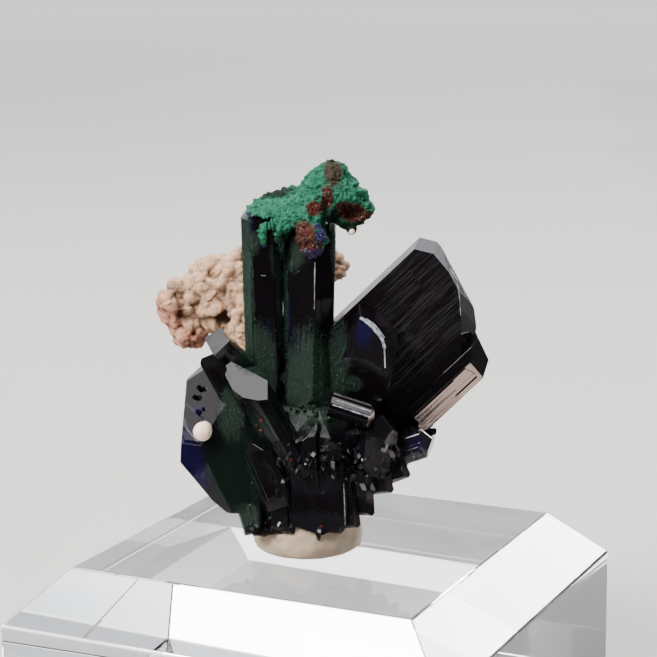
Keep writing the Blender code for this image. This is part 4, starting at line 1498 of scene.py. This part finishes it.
class SPECIMEN_OT_add_stage(bpy.types.Operator):
    """Adds the pale floor, the soft lights and the camera"""

    bl_idname = "specimen.add_stage"
    bl_label = "Stage"

    def execute(self, context):
        bm = bmesh.new()
        bmesh.ops.create_grid(bm, x_segments=8, y_segments=8, size=FLOOR_HALF)
        floor = new_object("floor", bm, Matrix.Translation((0, 0, -FLOOR_DROP)))
        floor.data.materials.append(floor_material())
        add_lights()
        add_dark_cards()
        add_room(context.scene)

        camera = bpy.data.cameras.new("photo_view")
        camera.sensor_fit = "HORIZONTAL"
        camera.sensor_width = CAMERA_SENSOR
        camera.lens = CAMERA_LENS
        camera.clip_start = 0.01
        camera.clip_end = 20.0
        viewer = bpy.data.objects.new("photo_view", camera)
        context.scene.collection.objects.link(viewer)
        matrix = Matrix.Translation(CAMERA_PLACE)
        for turn, axis in (
            (CAMERA_AZIMUTH, "Z"), (math.pi / 2 - CAMERA_ELEVATION, "X"), (CAMERA_ROLL, "Z")
        ):
            matrix = matrix @ Matrix.Rotation(turn, 4, axis)
        viewer.matrix_world = matrix
        context.scene.camera = viewer
        return {"FINISHED"}


class SPECIMEN_PT_parts(bpy.types.Panel):
    """Lists the specimen's pieces and settings"""

    bl_idname = "SPECIMEN_PT_parts"
    bl_label = "Azurite specimen"
    bl_space_type = "VIEW_3D"
    bl_region_type = "UI"
    bl_category = "Specimen"

    def draw(self, context):
        layout = self.layout
        for operator in OPERATORS:
            layout.operator(operator.bl_idname)
        for group in (context.scene.specimen_sizes, context.scene.specimen_colours):
            box = layout.box()
            for name in group.__annotations__:
                box.prop(group, name)


OPERATORS = (
    SPECIMEN_OT_add_block,
    SPECIMEN_OT_add_putty,
    SPECIMEN_OT_add_azurite,
    SPECIMEN_OT_add_edge_highlights,
    SPECIMEN_OT_add_grains,
    SPECIMEN_OT_add_malachite,
    SPECIMEN_OT_add_cap_grains,
    SPECIMEN_OT_add_matrix,
    SPECIMEN_OT_add_beads,
    SPECIMEN_OT_add_stage,
)
CLASSES = (SpecimenSizes, SpecimenColours, *OPERATORS, SPECIMEN_PT_parts)


def register():
    """Adds the settings, the operators and the panel to Blender."""
    for made in CLASSES:
        bpy.utils.register_class(made)
    bpy.types.Scene.specimen_sizes = PointerProperty(type=SpecimenSizes)
    bpy.types.Scene.specimen_colours = PointerProperty(type=SpecimenColours)


def unregister():
    """Takes them out again."""
    del bpy.types.Scene.specimen_sizes
    del bpy.types.Scene.specimen_colours
    for made in reversed(CLASSES):
        bpy.utils.unregister_class(made)


def main():
    """Builds every piece."""
    register()
    bpy.ops.specimen.add_block()
    bpy.ops.specimen.add_putty()
    bpy.ops.specimen.add_azurite()
    bpy.ops.specimen.add_worn_edges()
    bpy.ops.specimen.add_grains()
    bpy.ops.specimen.add_malachite()
    bpy.ops.specimen.add_cap_grains()
    bpy.ops.specimen.add_matrix()
    bpy.ops.specimen.add_beads()
    bpy.ops.specimen.add_stage()


if __name__ == "__main__":
    main()
